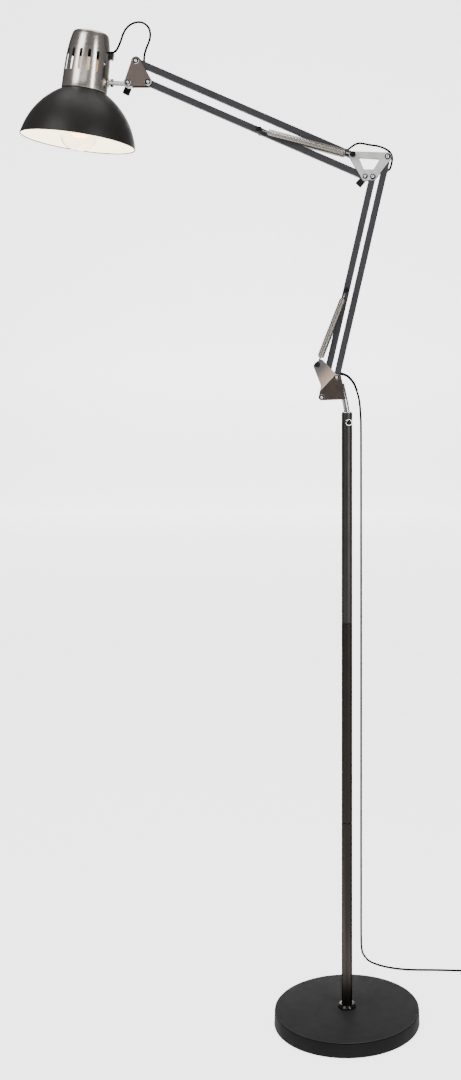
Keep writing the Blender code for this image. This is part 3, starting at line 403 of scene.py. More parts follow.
# Porcelain with a painted glow: a faint warm emission standing in for the bulb's light on it.
PORCELAIN_PAINTED_GLOW = painted("porcelain_painted_glow", (0.80, 0.76, 0.68), 0.25, 300.0, 0.00002, variation=0.04,
                    Emission_Color=(1.0, 0.72, 0.42, 1), Emission_Strength=0.6)
IRON = painted("cast_iron_rough", (0.07, 0.07, 0.072), 0.75, 420.0, 0.0003)
FOAM = painted("foam_pad", (0.022, 0.022, 0.022), 0.9, 620.0, 0.0003)
POLE = plated("pole_black_nickel", (0.042, 0.036, 0.033), 0.34, (1, 1, 0.03))
POLE_LIGHT = plated("pole_upper_nickel", (0.074, 0.071, 0.069), 0.38, (1, 1, 0.03))
NICKEL = plated("cap_satin_nickel", (0.70, 0.64, 0.585), 0.22, (0.05, 0.05, 1.6), HEAD_LEAN)
PLATE_DARK = plated("plate_dark_nickel", (0.185, 0.148, 0.132), 0.30, (1, 0.2, 0.08))
PLATE_EAR_REFLECTION = ear_painted_reflection()
# A painted highlight along the ear's crease.
PLATE_CREASE_HIGHLIGHT = plated("plate_crease_painted_highlight", (0.95, 0.80, 0.68), 0.25, (1, 0.2, 0.08), metal=0.3)
PLATE_SILVER = plated("plate_silver", (0.90, 0.875, 0.84), 0.34, (0.08, 0.2, 1), variation=0.16, metal=0.6)
SPRING = plated("spring_wire", (0.38, 0.345, 0.315), 0.22)
CHROME = plated("bright_chrome", (0.80, 0.80, 0.81), 0.09, grain=300.0, depth=0.000005)
BRASS = plated("bulb_brass", (0.72, 0.55, 0.28), 0.25)
DULL_STEEL = plated("base_steel", (0.42, 0.42, 0.43), 0.38)
STRAP = threaded("tie_strap", (0.015, 0.015, 0.016), 0.0007)
FILAMENT = glowing("filament_glow", (1.0, 0.48, 0.12), 14.0)
LINING_GLOW = lining()
GLASS = clear_glass()


# ---- building blocks ------------------------------------------------------------------------


def finish_piece(name, bm, mat, body=None, stands_for=(), frame_of=None, sharp=35, bevel=0.0):
    """Makes a piece from a bmesh. Materials after the first are for faces that name their index."""
    bmesh.ops.recalc_face_normals(bm, faces=bm.faces)
    if frame_of is not None:
        bm.transform(frame_of)
    mesh = bpy.data.meshes.new(name)
    bm.to_mesh(mesh)
    bm.free()
    mesh.shade_smooth()
    mesh.set_sharp_from_angle(angle=math.radians(sharp))
    for one in mat if isinstance(mat, (list, tuple)) else [mat]:
        mesh.materials.append(one)
    piece = bpy.data.objects.new(name, mesh)
    bpy.context.collection.objects.link(piece)
    if bevel:
        edge = piece.modifiers.new("edges", "BEVEL")
        edge.width, edge.segments, edge.angle_limit = bevel, 2, math.radians(30)
        edge.harden_normals = True
    if body:
        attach(piece, body)
    if stands_for:
        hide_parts(*stands_for)
    return piece


def lathe_bmesh(profile, steps, paint=None):
    """Turns an outline of (radius, height) points about Z. Paint gives each stretch its material."""
    bm = bmesh.new()
    rings = []
    for radius, z in profile:
        count = steps if radius > 1e-6 else 1
        rings.append([bm.verts.new((x, y, z)) for x, y in circle((0, 0), radius, count)])
    for index, (ring, following) in enumerate(zip(rings, rings[1:] + rings[:1])):
        if len(ring) == len(following) == 1:
            continue
        for k in range(steps):
            corners = [ring[k % len(ring)], ring[(k + 1) % steps % len(ring)]]
            corners += [following[(k + 1) % steps % len(following)], following[k % len(following)]]
            face = bm.faces.new(list(dict.fromkeys(corners)))
            face.material_index = paint[index] if paint else 0
    return bm


def prism_bmesh(outline, holes, y_low, y_high):
    """An outline in XZ, less its holes, carried from y_low to y_high."""
    bm = bmesh.new()
    for loop in [outline, *holes]:
        ring = [bm.verts.new((x, y_low, z)) for x, z in loop]
        for a, b in zip(ring, ring[1:] + ring[:1]):
            bm.edges.new((a, b))
    filled = bmesh.ops.triangle_fill(bm, use_beauty=True, edges=bm.edges)
    faces = [item for item in filled["geom"] if isinstance(item, bmesh.types.BMFace)]
    far = bmesh.ops.extrude_face_region(bm, geom=faces)["geom"]
    moved = [item for item in far if isinstance(item, bmesh.types.BMVert)]
    bmesh.ops.translate(bm, verts=moved, vec=(0, y_high - y_low, 0))
    return bm


def sweep_bmesh(route, radii, sides):
    """A round tube along the points. Radii is one number or one for each point."""
    bm = bmesh.new()
    points = [Vector(p) for p in route]
    radii = radii if isinstance(radii, (list, tuple)) else [radii] * len(points)
    tangents = []
    for k in range(len(points)):
        before, after = points[max(k - 1, 0)], points[min(k + 1, len(points) - 1)]
        tangents.append((after - before).normalized())
    normal = tangents[0].orthogonal().normalized()
    rings = []
    for point, tangent, radius in zip(points, tangents, radii):
        normal = (normal - tangent * normal.dot(tangent)).normalized()
        side = tangent.cross(normal)
        offsets = (normal * x + side * y for x, y in circle((0, 0), radius, sides))
        rings.append([bm.verts.new(point + offset) for offset in offsets])
    for ring, following in zip(rings, rings[1:]):
        for k in range(sides):
            bm.faces.new((ring[k - 1], ring[k], following[k], following[k - 1]))
    bm.faces.new(rings[0])
    bm.faces.new(rings[-1])
    return bm


def merged(*meshes):
    """One bmesh from several (bmesh, matrix or None) pairs."""
    whole = bmesh.new()
    for bm, matrix in meshes:
        if matrix is not None:
            bm.transform(matrix)
        holder = bpy.data.meshes.new("part")
        bm.to_mesh(holder)
        bm.free()
        whole.from_mesh(holder)
        bpy.data.meshes.remove(holder)
    return whole


def drilled(piece, cutters):
    """Cuts closed shapes out of a piece and keeps the result."""
    mesh = bpy.data.meshes.new("cutter")
    bmesh.ops.recalc_face_normals(cutters, faces=cutters.faces)
    cutters.to_mesh(mesh)
    cutters.free()
    helper = bpy.data.objects.new("cutter", mesh)
    bpy.context.collection.objects.link(helper)
    modifier = piece.modifiers.new("cut", "BOOLEAN")
    modifier.object, modifier.solver = helper, "EXACT"
    result = bpy.data.meshes.new_from_object(piece.evaluated_get(bpy.context.evaluated_depsgraph_get()))
    result.name = piece.name
    piece.modifiers.clear()
    piece.data = result
    bpy.data.objects.remove(helper, do_unlink=True)
    result.shade_smooth()
    result.set_sharp_from_angle(angle=math.radians(35))


def turned(name, profile, mat, body, slot, stands_for=(), frame_of=None, steps=64, paint=None, sharp=35):
    """A piece turned about the Z of its frame."""
    bm = lathe_bmesh(profile, steps, paint)
    return finish_piece(name, bm, mat, body, stands_for, frame_of, sharp)


# ---- camera and cords -----------------------------------------------------------------------


def make_camera():
    data = bpy.data.cameras.new("camera")
    data.lens, data.sensor_width = 43.33, 36.0
    data.shift_x, data.shift_y = -0.1125, -0.1426
    camera = bpy.data.objects.new("camera", data)
    camera.location = (0.0087, -2.25, 1.10)
    camera.rotation_euler = (math.pi / 2, 0, 0)
    bpy.context.collection.objects.link(camera)
    bpy.context.scene.camera = camera


def coil_points():
    """The wound turns, two side by side and three high. Each step to the next place takes 85 degrees."""
    inner_radius, across_pitch = 0.0193, 0.0041
    lowest, up_pitch = 0.0031, 0.0039
    places = ((1, 0), (0, 0), (0, 1), (1, 1), (1, 2))
    steps = (275, 550, 910, 1185)
    points = []
    for degrees in range(0, 1531, 10):
        column, row = places[0]
        for start, before, after in zip(steps, places, places[1:]):
            t = min(max((degrees - start) / 85, 0), 1)
            share = t * t * (3 - 2 * t)
            column += share * (after[0] - before[0])
            row += share * (after[1] - before[1])
        radius, angle = inner_radius + across_pitch * column, math.radians(degrees - 90)
        x, y = add2(COIL_CENTRE, (math.cos(angle), math.sin(angle)), radius)
        points.append((x, y, lowest + up_pitch * row))
    return points


def make_mains_cord():
    lead_out = [(0.2866, 0.2235, 0.0092), PLUG_START, PLUG_START + Vector((0, 0.0280, 0))]
    path = smooth_route([*CORD_ROUTE, *coil_points()[::3], *lead_out], 0.0035)
    cord = finish_piece("mains_lead", sweep_bmesh(path, CORD_RADIUS, 12), SHEATH)
    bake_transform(cord)
    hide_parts("mains_cord", "cord_coil")
    make_plug()
    make_tie()


def is_rim(edge):
    """Whether an edge of a prism lies between an end face and the wall."""
    level = abs(edge.verts[0].co.y - edge.verts[1].co.y) < 1e-6
    return level and len({round(face.normal.y) for face in edge.link_faces}) > 1


def make_plug():
    outline = rounded([
        (-0.0070, 0.0240, 0.0030), (0.0070, 0.0240, 0.0030), (0.0171, 0.0400, 0.0060),
        (0.0150, 0.0620, 0.0020), (-0.0150, 0.0620, 0.0020), (-0.0171, 0.0400, 0.0060),
    ])
    body = prism_bmesh(outline, [], -0.0062, 0.0062)
    rims = [edge for edge in body.edges if is_rim(edge)]
    bmesh.ops.bevel(body, geom=rims, offset=0.0018, segments=3, affect="EDGES")
    ribs = [(0, 0.0002)]
    for k in range(6):
        low, ridge = 0.0002 + 0.0040 * k, 0.0023 + 0.00035 * k
        groove = ridge - 0.0006
        ribs += [(ridge, low), (ridge, low + 0.0028), (groove, low + 0.0030), (groove, low + 0.0038)]
    ribs += [(0.0046, 0.0262), (0, 0.0262)]
    sleeve = rectangle(0, 0.0610, 0.0020, 0.0710)
    pin = [(0, 0.0708), (0.0020, 0.0708), (0.0020, 0.0795), (0.0012, 0.0810), (0, 0.0810)]
    pins = []
    for side in (-1, 1):
        place = Matrix.Translation((side * 0.0095, 0, 0))
        pins += [(lathe_bmesh(sleeve, 20), place), (lathe_bmesh(pin, 20, [1] * 5), place)]
    whole = merged((body, None), (lathe_bmesh(ribs, 28), None), *pins)
    frame_of = along(PLUG_START, (0, 1, 0))
    return finish_piece("mains_plug", whole, [SHEATH, CHROME], "stand", ["plug"], frame_of)


def make_tie():
    """A woven strap round the coil's turns, its end lying over itself."""
    low, high, near, far = 0.0007, 0.0137, 0.0159, 0.0268

    def band(grow):
        corners = rectangle(near - grow, low - grow, far + grow, high + grow)
        return rounded([(*corner, 0.0022) for corner in corners], 5)

    strap = prism_bmesh(band(0.0005), [band(0.0)], -0.0035, 0.0035)
    end = rectangle(near + 0.002, high + 0.0006, far - 0.001, high + 0.0011)
    whole = merged((strap, None), (prism_bmesh(end, [], -0.0034, 0.0034), None))
    place = Matrix.Translation((*COIL_CENTRE, 0)) @ Matrix.Rotation(math.radians(100), 4, "Z")
    return finish_piece("coil_tie", whole, STRAP, "stand", ["cord_tie"], place)


# ---- base and pole --------------------------------------------------------------------------


def make_base():
    top, r, hole = BASE_HEIGHT, BASE_RADIUS, POLE_RADIUS + 0.0006
    cover = [
        (hole, top), (r - 0.0022, top), (r - 0.0012, top - 0.0002), (r - 0.0006, top - 0.0008),
        (r - 0.0004, top - 0.0015), (r - 0.0010, top - 0.0019), (r - 0.0010, top - 0.0023),
        (r - 0.0003, top - 0.0027), (r, top - 0.0036), (r + 0.0006, 0.0028), (r + 0.0008, 0.0016),
        (r + 0.0006, 0.0010), (r - 0.0006, 0.0010), (r - 0.0014, top - 0.0032),
        (r - 0.0026, top - SHEET), (hole, top - SHEET),
    ]
    # Stretches: the top in the coat's lit copy, the groove in painted shadow, the side and underside in the
    # coat's shaded copy.
    paint = [0] * 4 + [1] * 3 + [2] * (len(cover) - 7)
    turned("base_shell", cover, [BASE_TOP_LIT, GROOVE_SHADOW, BASE_SIDE_SHADED], "stand", "charcoal_coat", ["base_cover"],
           steps=160, paint=paint, sharp=25)
    foot, inner, outer = top + GAP, POLE_RADIUS + GAP, 0.0155
    collar = [
        (inner, foot), (outer - 0.0004, foot), (outer, foot + 0.0004), (outer, foot + 0.0022),
        (outer - 0.0004, foot + 0.0029), (outer - 0.0018, foot + 0.0052), (outer - 0.0023, foot + 0.0058),
        (outer - 0.0032, foot + 0.0062), (inner + 0.0003, foot + 0.0062), (inner, foot + 0.0059),
    ]
    turned("foot_collar", collar, GLOSS, "stand", "black_plastic", ["base_collar"], steps=96)
    for node, mat in (("base_weight", IRON), ("base_pad", FOAM), ("base_bolt", DULL_STEEL)):
        repaint(node, mat)


def repaint(node, mat):
    """Gives a CAD node's surface a finished material."""
    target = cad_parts[node]
    target.data.materials.clear()
    target.data.materials.append(mat)


def make_pole():
    ends = [BASE_HEIGHT - 0.0025, *POLE_JOINTS, POLE_TOP]
    r, inside = POLE_RADIUS, POLE_RADIUS - 0.0014
    sections = zip(("lower", "middle", "upper"), (POLE, POLE, POLE_LIGHT), ends, ends[1:])
    for name, mat, low, high in sections:
        wall = [
            (inside, low + 0.0002), (r - 0.0005, low + 0.0002), (r, low + 0.0008), (r, high - 0.0007),
            (r - 0.0005, high - 0.0001), (inside, high - 0.0001),
        ]
        turned("pole_tube_" + name, wall, mat, "stand", "black_nickel", ["pole_" + name], steps=72)
        if name != "lower":
            spigot = rectangle(inside - 0.0003, low - 0.004, r - 0.0010, low + 0.004)
            turned("pole_spigot_" + name, spigot, BLACK, "stand", "black_nickel", steps=48)


def make_pole_fittings():
    top, bore, edge = POLE_TOP, 0.0053, POLE_RADIUS
    liner = [
        (bore, top - 0.06), (0.0075, top - 0.06), (0.0075, top + 0.0003), (edge - 0.0002, top + 0.0003),
        (edge, top + 0.0006), (edge - 0.0001, top + 0.0012), (edge - 0.0008, top + 0.0018),
        (bore + 0.0006, top + 0.0018), (bore, top + 0.0012),
    ]
    turned("pole_liner", liner, CHROME, "stand", "chrome", ["pole_bush"], steps=72)
    azimuth, seat = math.radians(20), POLE_RADIUS + GAP
    outward = Vector((math.sin(azimuth), -math.cos(azimuth), 0))
    ring = [(0, seat), (0.0053, seat), (0.0054, seat + 0.0007), (0.0053, seat + 0.0010)]
    knob = [*ring, (0.0050, seat + 0.0010), *domed(0.0049, 0.0033, seat + 0.0013), (0, seat + 0.0046)]
    paint = [1] * len(ring) + [0] * (len(knob) - len(ring))
    turned("clamp_knob", knob, [BLACK, CHROME], "stand", "black_plastic", ["clamp_screw"],
           along((0, 0, 1.0370), outward), steps=40, paint=paint)


# ---- pivots, bars and plates ----------------------------------------------------------------


def head_side(radius, sign):
    """A domed bolt head on a washer, on one side of the plates."""
    seat, inner = PLATE_OUTER + GAP, radius * 0.52
    washer = [
        (BOLT_RADIUS, seat), (radius - 0.0002, seat), (radius, seat + 0.0003),
        (radius - 0.0002, seat + 0.0007), (radius * 0.76, seat + 0.0008), (radius * 0.74, seat + 0.0004),
        (inner + 0.0001, seat + 0.0004),
    ]
    return [(r, sign * z) for r, z in washer + domed(inner, 0.0020, seat + 0.0006)]


def bolt(name, node, point, body, radius=0.0055):
    """A bolt with a domed head in front and another behind."""
    tip = PLATE_OUTER + 0.0029
    profile = [(0, -tip), *head_side(radius, -1)[::-1], *head_side(radius, 1), (0, tip)]
    paint = [0, *BOLT_PAINT[11::-1], 0, *BOLT_PAINT, 0]
    turned(name, profile, [CHROME, GROOVE_SHADOW], body, "chrome", [node], across(point), steps=40, paint=paint)


def threaded_bolt(name, node, point, body):
    """A bolt with a domed head in front and a thread behind."""
    profile = [(0, -PLATE_OUTER - 0.0029), *head_side(0.0055, -1)[::-1]]
    z = PLATE_OUTER + 0.001
    while z < PLATE_OUTER + 0.0126:
        profile += [(BOLT_RADIUS, z), (BOLT_RADIUS - 0.0003, z + 0.0004)]
        z += 0.0008
    profile += [(BOLT_RADIUS - 0.0005, PLATE_OUTER + 0.0135), (0, PLATE_OUTER + 0.0135)]
    paint = [0, *BOLT_PAINT[11::-1]]
    paint += [0] * (len(profile) - len(paint))
    turned(name, profile, [CHROME, GROOVE_SHADOW], body, "chrome", [node], across(point), steps=32, paint=paint)


def wing_nut(name, node, point, body, tilt):
    low, bore = PLATE_OUTER + GAP, BOLT_RADIUS + GAP
    boss = [
        (bore, low), (0.0058, low), (0.0060, low + 0.0004), (0.0050, low + 0.0070),
        (0.0046, low + 0.0080), (bore, low + 0.0080),
    ]
    parts = [(lathe_bmesh(boss, 40), None)]
    for side in (1, -1):
        corners = [
            (side * 0.0042, 0.0022, 0.0005), (side * 0.0085, 0.0042, 0.0012), (side * 0.0190, 0.0090, 0.0025),
            (side * 0.0160, 0.0130, 0.0025), (side * 0.0042, 0.0074, 0.0005),
        ]
        wing = prism_bmesh(rounded(corners[::side]), [], -0.0058, 0.0058)
        parts.append((wing, Matrix.Translation((0, 0, low))))
    place = across(point, tilt)
    finish_piece(name, merged(*parts), BLACK, body, [node], place, bevel=0.0014)


def bar_outline(start, end, half, steps=18):
    angle = math.atan2(end[1] - start[1], end[0] - start[0])
    outline = []
    for centre, facing in ((start, angle + math.pi), (end, angle)):
        for k in range(steps + 1):
            t = facing - math.pi / 2 + math.pi * k / steps
            outline.append((centre[0] + half * math.cos(t), centre[1] + half * math.sin(t)))
    return outline


def bar(name, node, start, end, body):
    """A square tube with softened edges, flattened and rounded about its two pivots."""
    bm = prism_bmesh(bar_outline(start, end, BAR_HALF), [], -BAR_HALF, BAR_HALF)
    return finish_piece(name, bm, SLATE, body, [node], sharp=50, bevel=0.0009)


def plate_holes(places):
    return [circle(p, BOLT_RADIUS + GAP, 24) for p in places]


def plates(name, node, outline, holes, body, mat, window=None, bent=None):
    for side, label in ((-1, "front"), (1, "rear")):
        low, high = sorted((side * PLATE_INNER, side * PLATE_OUTER))
        bm = prism_bmesh(outline, plate_holes(holes) + ([window] if window else []), low, high)
        if bent:
            bent(bm, side)
        finish_piece(f"{name}_{label}", bm, mat, body, [f"{node}_{label}"], sharp=25,
                     bevel=0.00025)


def lead_ring(name, start, end, distance, body):
    """A rubber ring where a lead passes through a bar's wall."""
    place = Vector(in_plane([beside(start, end, distance, BAR_HALF)])[0])
    outward = Vector(in_plane([beside((0, 0), Vector(end) - Vector(start), 0, 1)])[0])
    ring = [
        (0.0021, -0.0004), (0.0038, -0.0004), (0.0038, 0.0004), (0.0033, 0.0009), (0.0024, 0.0009),
        (0.0021, 0.0005),
    ]
    turned(name, ring, BLACK, body, "black_plastic", frame_of=along(place, outward), steps=32)


# ---- swivel bracket -------------------------------------------------------------------------


def ear_height(x, z):
    (ax, az), (bx, bz) = EAR_CREASE
    return ((bx - ax) * (z - az) - (bz - az) * (x - ax)) / math.hypot(bx - ax, bz - az)


def bend_ear(bm, side):
    """Slopes the part of the plate past the crease outwards, gives it the plate with the painted reflection,
    and gives a strip along the crease a painted highlight.
    """
    (ax, az), (bx, bz) = EAR_CREASE
    normal = Vector((az - bz, 0, bx - ax)).normalized()
    for offset in (CREASE_LOW, 0.0, CREASE_HIGH):
        everything = [*bm.verts, *bm.edges, *bm.faces]
        point = Vector((ax, 0, az)) + normal * offset
        bmesh.ops.bisect_plane(bm, geom=everything, plane_co=point, plane_no=normal)
    for face in bm.faces:
        middle = face.calc_center_median()
        past = ear_height(middle.x, middle.z)
        # The strip along the crease gets the painted highlight, the ear past it the painted reflection.
        face.material_index = 2 if CREASE_LOW < past < CREASE_HIGH else 1 if past > 0 else 0
    for vertex in bm.verts:
        past = ear_height(vertex.co.x, vertex.co.z)
        if past > 0:
            vertex.co.y += side * EAR_SLOPE * past


def make_spring_studs():
    foot = PLATE_OUTER + EAR_SLOPE * ear_height(*LOWER_STUD) - 0.0006
    tip = SPRING_PLANE + 0.0030
    stud = [
        (0, foot), (0.0048, foot), (0.0048, foot + 0.0012), (BOLT_RADIUS, foot + 0.0014), (BOLT_RADIUS, tip),
        (0.0044, tip), (0.0047, tip + 0.0003), (0.0046, tip + 0.0012), (0.0031, tip + 0.0023),
        (0, tip + 0.0026),
    ]
    for side, label in ((-1, "front"), (1, "rear")):
        turned("spring_stud_" + label, [(r, side * z) for r, z in stud], BLACK, "swivel", "black_plastic",
               frame_of=across(LOWER_STUD), steps=32)


def make_swivel():
    route = smooth_route([
        (0, 0, POLE_TOP - 0.056), (0, 0, 1.020), (0, 0, 1.0500), (-0.0012, 0, 1.0620),
        (-0.0052, 0, 1.0830), (-0.0098, 0, 1.1040),
    ], 0.002)
    finish_piece("stem_pin", sweep_bmesh(route, 0.0050, 40), CHROME, "swivel", ["stem"])
    outline = rounded([
        (-0.0500, 1.0748, 0.0050), (-0.0020, 1.0768, 0.0015), (-0.0108, 1.1215, 0.0050),
        (-0.0190, 1.1206, 0.0010), (-0.0445, 1.1480, 0.0060), (-0.0588, 1.1362, 0.0060),
        (-0.0446, 1.0990, 0.0008),
    ])
    plates("swivel_cheek", "swivel_plate", outline, (LOWER_PIVOT, LOWER_ARM_PIVOT), "swivel",
           [PLATE_DARK, PLATE_EAR_REFLECTION, PLATE_CREASE_HIGHLIGHT], bent=bend_ear)
    make_spring_studs()
    bolt("lower_link_rivet", "lower_link_bolt", LOWER_PIVOT, "swivel")
    bolt("lower_arm_rivet", "lower_arm_bolt", LOWER_ARM_PIVOT, "swivel", radius=0.0052)


# ---- arms -----------------------------------------------------------------------------------


def spring_frames(foot, pin):
    start, end = Vector((foot[0], 0, foot[1])), Vector((pin[0], 0, pin[1]))
    axis = (end - start).normalized()
    return start, end, axis, Vector((axis.z, 0, -axis.x))


def coil_spring_bmesh(start, end, axis, sideways):
    """A close-wound spring with an eye at its foot."""
    wire, mean = SPRING_WIRE, SPRING_RADIUS - SPRING_WIRE
    low, high = SPRING_SHANK - 0.002, (end - start).length - SPRING_SHANK
    third = axis.cross(sideways)
    steps = 12 * int((high - low) / SPRING_PITCH)
    route = []
    for k in range(7):
        t = math.radians(20 - 270 * (1 - k / 6))
        route.append(start - SPRING_LOOP * (axis * math.cos(t) + sideways * math.sin(t)))
    route += [start + axis * (SPRING_LOOP + 0.0030), start + axis * (low - 0.0015)]
    for k in range(steps + 1):
        t = 2 * math.pi * k / 12
        radius = mean * min(1.0, k / 9, (steps - k) / 9)
        height = low + (high - low) * k / steps
        route.append(start + axis * height + radius * (sideways * math.cos(t) + third * math.sin(t)))
    route += [start + axis * (high + 0.002), start + axis * (high + 0.0045)]
    return sweep_bmesh(route, wire, 6)


def hook_bmesh(end, axis, sideways):
    """The hook between a spring's last turn and the pin."""
    shank = [end - axis * (SPRING_SHANK - 0.0045), end - axis * (SPRING_LOOP + 0.0022)]
    turns = [math.radians(200 + 270 * k / 12) for k in range(13)]
    ring = [end + SPRING_LOOP * (axis * math.cos(t) + sideways * math.sin(t)) for t in turns]
    return sweep_bmesh(shank + ring, 0.0006, 8)


def spring_pair(name, node, foot, pin, body, hook_body, stretches=False):
    """A spring on each side, each hook on the hook's body. One that stretches is attached to no body."""
    start, end, axis, sideways = spring_frames(foot, pin)
    for side, label in ((-1, "front"), (1, "rear")):
        middle = Vector((0, side * SPRING_PLANE, 0))
        shift = Matrix.Translation(middle)
        spring = coil_spring_bmesh(start, end, axis, sideways)
        spring.transform(shift)
        piece = finish_piece(f"{name}_{label}", spring, SPRING, None if stretches else body,
                             sharp=60)
        if stretches:
            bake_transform(piece)
        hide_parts(f"{node}_{label}")
        hook = hook_bmesh(end, axis, sideways)
        hook.transform(shift)
        finish_piece(f"{name}_hook_{label}", hook, SPRING, hook_body,
                     [f"{node}_hook_{label}"], sharp=60)


def spring_pin(name, node, point, body):
    """A pin right through a bar or bracket, with a cap outside each spring's hook."""
    tip, seat = SPRING_PLANE + 0.0022, PLATE_OUTER
    half = [
        (BOLT_RADIUS, seat), (0.0036, seat + 0.0003), (0.0036, seat + 0.0010), (BOLT_RADIUS, seat + 0.0012),
        (BOLT_RADIUS, tip - 0.0002), (0.0049, tip), (0.0052, tip + 0.0003), (0.0051, tip + 0.0012),
        (0.0038, tip + 0.0025),
    ]
    profile = [(0, -tip - 0.0030), *[(r, -z) for r, z in half[::-1]], *half, (0, tip + 0.0030)]
    turned(name, profile, BLACK, body, "black_plastic", [node], across(point), steps=36)


def make_lower_arm():
    bar("lower_link_tube", "lower_link_bar", LOWER_PIVOT, ELBOW_LOW, "lower_link")
    bar("lower_arm_tube", "lower_arm_bar", ELBOW_HIGH, LOWER_ARM_PIVOT, "lower_arm")
    lead_ring("lead_ring_low_top", ELBOW_HIGH, LOWER_ARM_PIVOT, 0.0226, "lower_arm")
    lead_ring("lead_ring_low_foot", ELBOW_HIGH, LOWER_ARM_PIVOT, 0.3833, "lower_arm")
    spring_pin("lower_spring_stud", "lower_spring_pin", LOWER_PIN, "lower_link")
    spring_pair("lower_coil", "lower_spring", LOWER_STUD, LOWER_PIN, "lower_spring", "lower_link")


def make_elbow():
    places = (UPPER_PIVOT, ELBOW_HIGH, ELBOW_LOW, UPPER_LINK_PIVOT)
    outline = hull(tuple(zip(places, (0.0065, 0.0070, 0.0066, 0.0066))))
    window = rounded([
        (0.0204, 1.4948, 0.0015), (0.0292, 1.4740, 0.0015), (0.0456, 1.4736, 0.0015),
        (0.0572, 1.4926, 0.0015),
    ])
    plates("elbow_cheek", "elbow_plate", outline, places, "elbow", PLATE_SILVER, window=window)
    bolt("elbow_high_rivet", "elbow_high_bolt", ELBOW_HIGH, "elbow", radius=0.0068)
    bolt("elbow_low_rivet", "elbow_low_bolt", ELBOW_LOW, "elbow", radius=0.0060)
    threaded_bolt("elbow_clamp", "elbow_clamp_bolt", UPPER_LINK_PIVOT, "elbow")
    spring_pin("elbow_pivot_pin", "elbow_pin", UPPER_PIVOT, "elbow")
    wing_nut("elbow_wing", "elbow_wing_nut", UPPER_LINK_PIVOT, "elbow_wing_nut", math.radians(-45))


def make_upper_arm():
    bar("upper_arm_tube", "upper_arm_bar", HEAD_HIGH, UPPER_PIVOT, "upper_arm")
    eye = [(0, -0.0057), (0.0080, -0.0057), (0.0085, -0.0053)]
    eye += [(r, -z) for r, z in eye[::-1]]
    turned("upper_arm_eye", eye, BLACK, "upper_arm", "slate_coat", frame_of=across(HEAD_HIGH), steps=48)
    bar("upper_link_tube", "upper_link_bar", UPPER_LINK_PIVOT, HEAD_LOW, "upper_link")
    lead_ring("lead_ring_high_head", HEAD_HIGH, UPPER_PIVOT, 0.0120, "upper_arm")
    lead_ring("lead_ring_high_elbow", HEAD_HIGH, UPPER_PIVOT, 0.3954, "upper_arm")
    spring_pin("upper_spring_stud", "upper_spring_pin", UPPER_PIN, "upper_link")
    spring_pair("upper_coil", "upper_spring", UPPER_PIVOT, UPPER_PIN, "upper_spring", "upper_spring_head",
                stretches=True)


def make_head_bracket():
    outline = hull([(HEAD_HIGH, 0.0075), (HEAD_LOW, 0.0070), (TILT_PIVOT, 0.0065)])
    plates("head_cheek", "head_plate", outline, (HEAD_HIGH, HEAD_LOW, TILT_PIVOT), "head_bracket", PLATE_DARK)
    bolt("head_high_rivet", "head_high_bolt", HEAD_HIGH, "head_bracket", radius=0.0060)
    bolt("head_low_rivet", "head_low_bolt", HEAD_LOW, "head_bracket", radius=0.0064)
    threaded_bolt("tilt_clamp", "tilt_bolt", TILT_PIVOT, "head_bracket")
    wing_nut("tilt_wing", "head_wing_nut", TILT_PIVOT, "head_wing_nut", math.radians(-62))
    half = PLATE_INNER - 0.0006
    rod = lathe_bmesh([(0, 0.004), (0.0043, 0.004), (0.0043, 0.0496), (0.0039, 0.0500), (0, 0.0500)], 40)
    disc = [(0, -half), (0.0079, -half), (0.0082, -half + 0.0004)]
    disc += [(r, -z) for r, z in disc[::-1]]
    whole = merged((rod, along(ROD_START, ROD_DIRECTION)), (lathe_bmesh(disc, 56), across(TILT_PIVOT)))
    finish_piece("head_rod_eye", whole, PLATE_SILVER, "yoke", ["head_rod"])


# ---- head -----------------------------------------------------------------------------------


def dome_arc(offset):
    """The dome's outline from the cap down to the rim, this far outside its outer face."""
    cx, cz = DOME_ARC_CENTRE
    radius = DOME_ARC_RADIUS + offset
    first = math.acos((DOME_NECK - cx) / radius)
    last = math.asin((-DOME_DEPTH + DOME_RIM - cz) / radius)
    angles = (first + (last - first) * k / 30 for k in range(31))
    return [(cx + radius * math.cos(t), cz + radius * math.sin(t)) for t in angles]


def make_shade():
    outer, inner = dome_arc(0.0), dome_arc(-SHEET)
    edge_r, edge_z = outer[-1]
    angles = (math.radians(60 - 270 * k / 10) for k in range(11))
    bead = [(edge_r - 0.0009 + 0.0011 * math.cos(t), edge_z - 0.0003 + 0.0011 * math.sin(t)) for t in angles]
    hole = 0.0197
    profile = [(hole, outer[0][1]), *outer, *bead, *inner[::-1], (hole, inner[0][1])]
    paint = [0] * (len(outer) + len(bead)) + [1] * (len(inner) + 2)
    turned("dome", profile, [COAT, LINING_GLOW], "head", "charcoal_coat", ["shade"], HEAD, steps=144,
           paint=paint, sharp=50)


def cap_profile():
    outer = [
        (0.0376, 0.0006), (0.0386, 0.0008), (0.0390, 0.0018), (0.0389, 0.0200), (0.0386, 0.0340),
        (0.0381, 0.0470), (0.0374, 0.0580), (0.0363, 0.0690), (0.0347, 0.0810), (0.0331, 0.0895),
        (0.0322, 0.0940), (0.0312, 0.0976), (0.0302, 0.0999), (0.0286, 0.1014), (0.0262, 0.1020),
        (0.0066, CAP_HEIGHT),
    ]
    inner = [(max(r - SHEET, 0.0066), min(z, CAP_HEIGHT - SHEET)) for r, z in outer[::-1]]
    return outer + inner


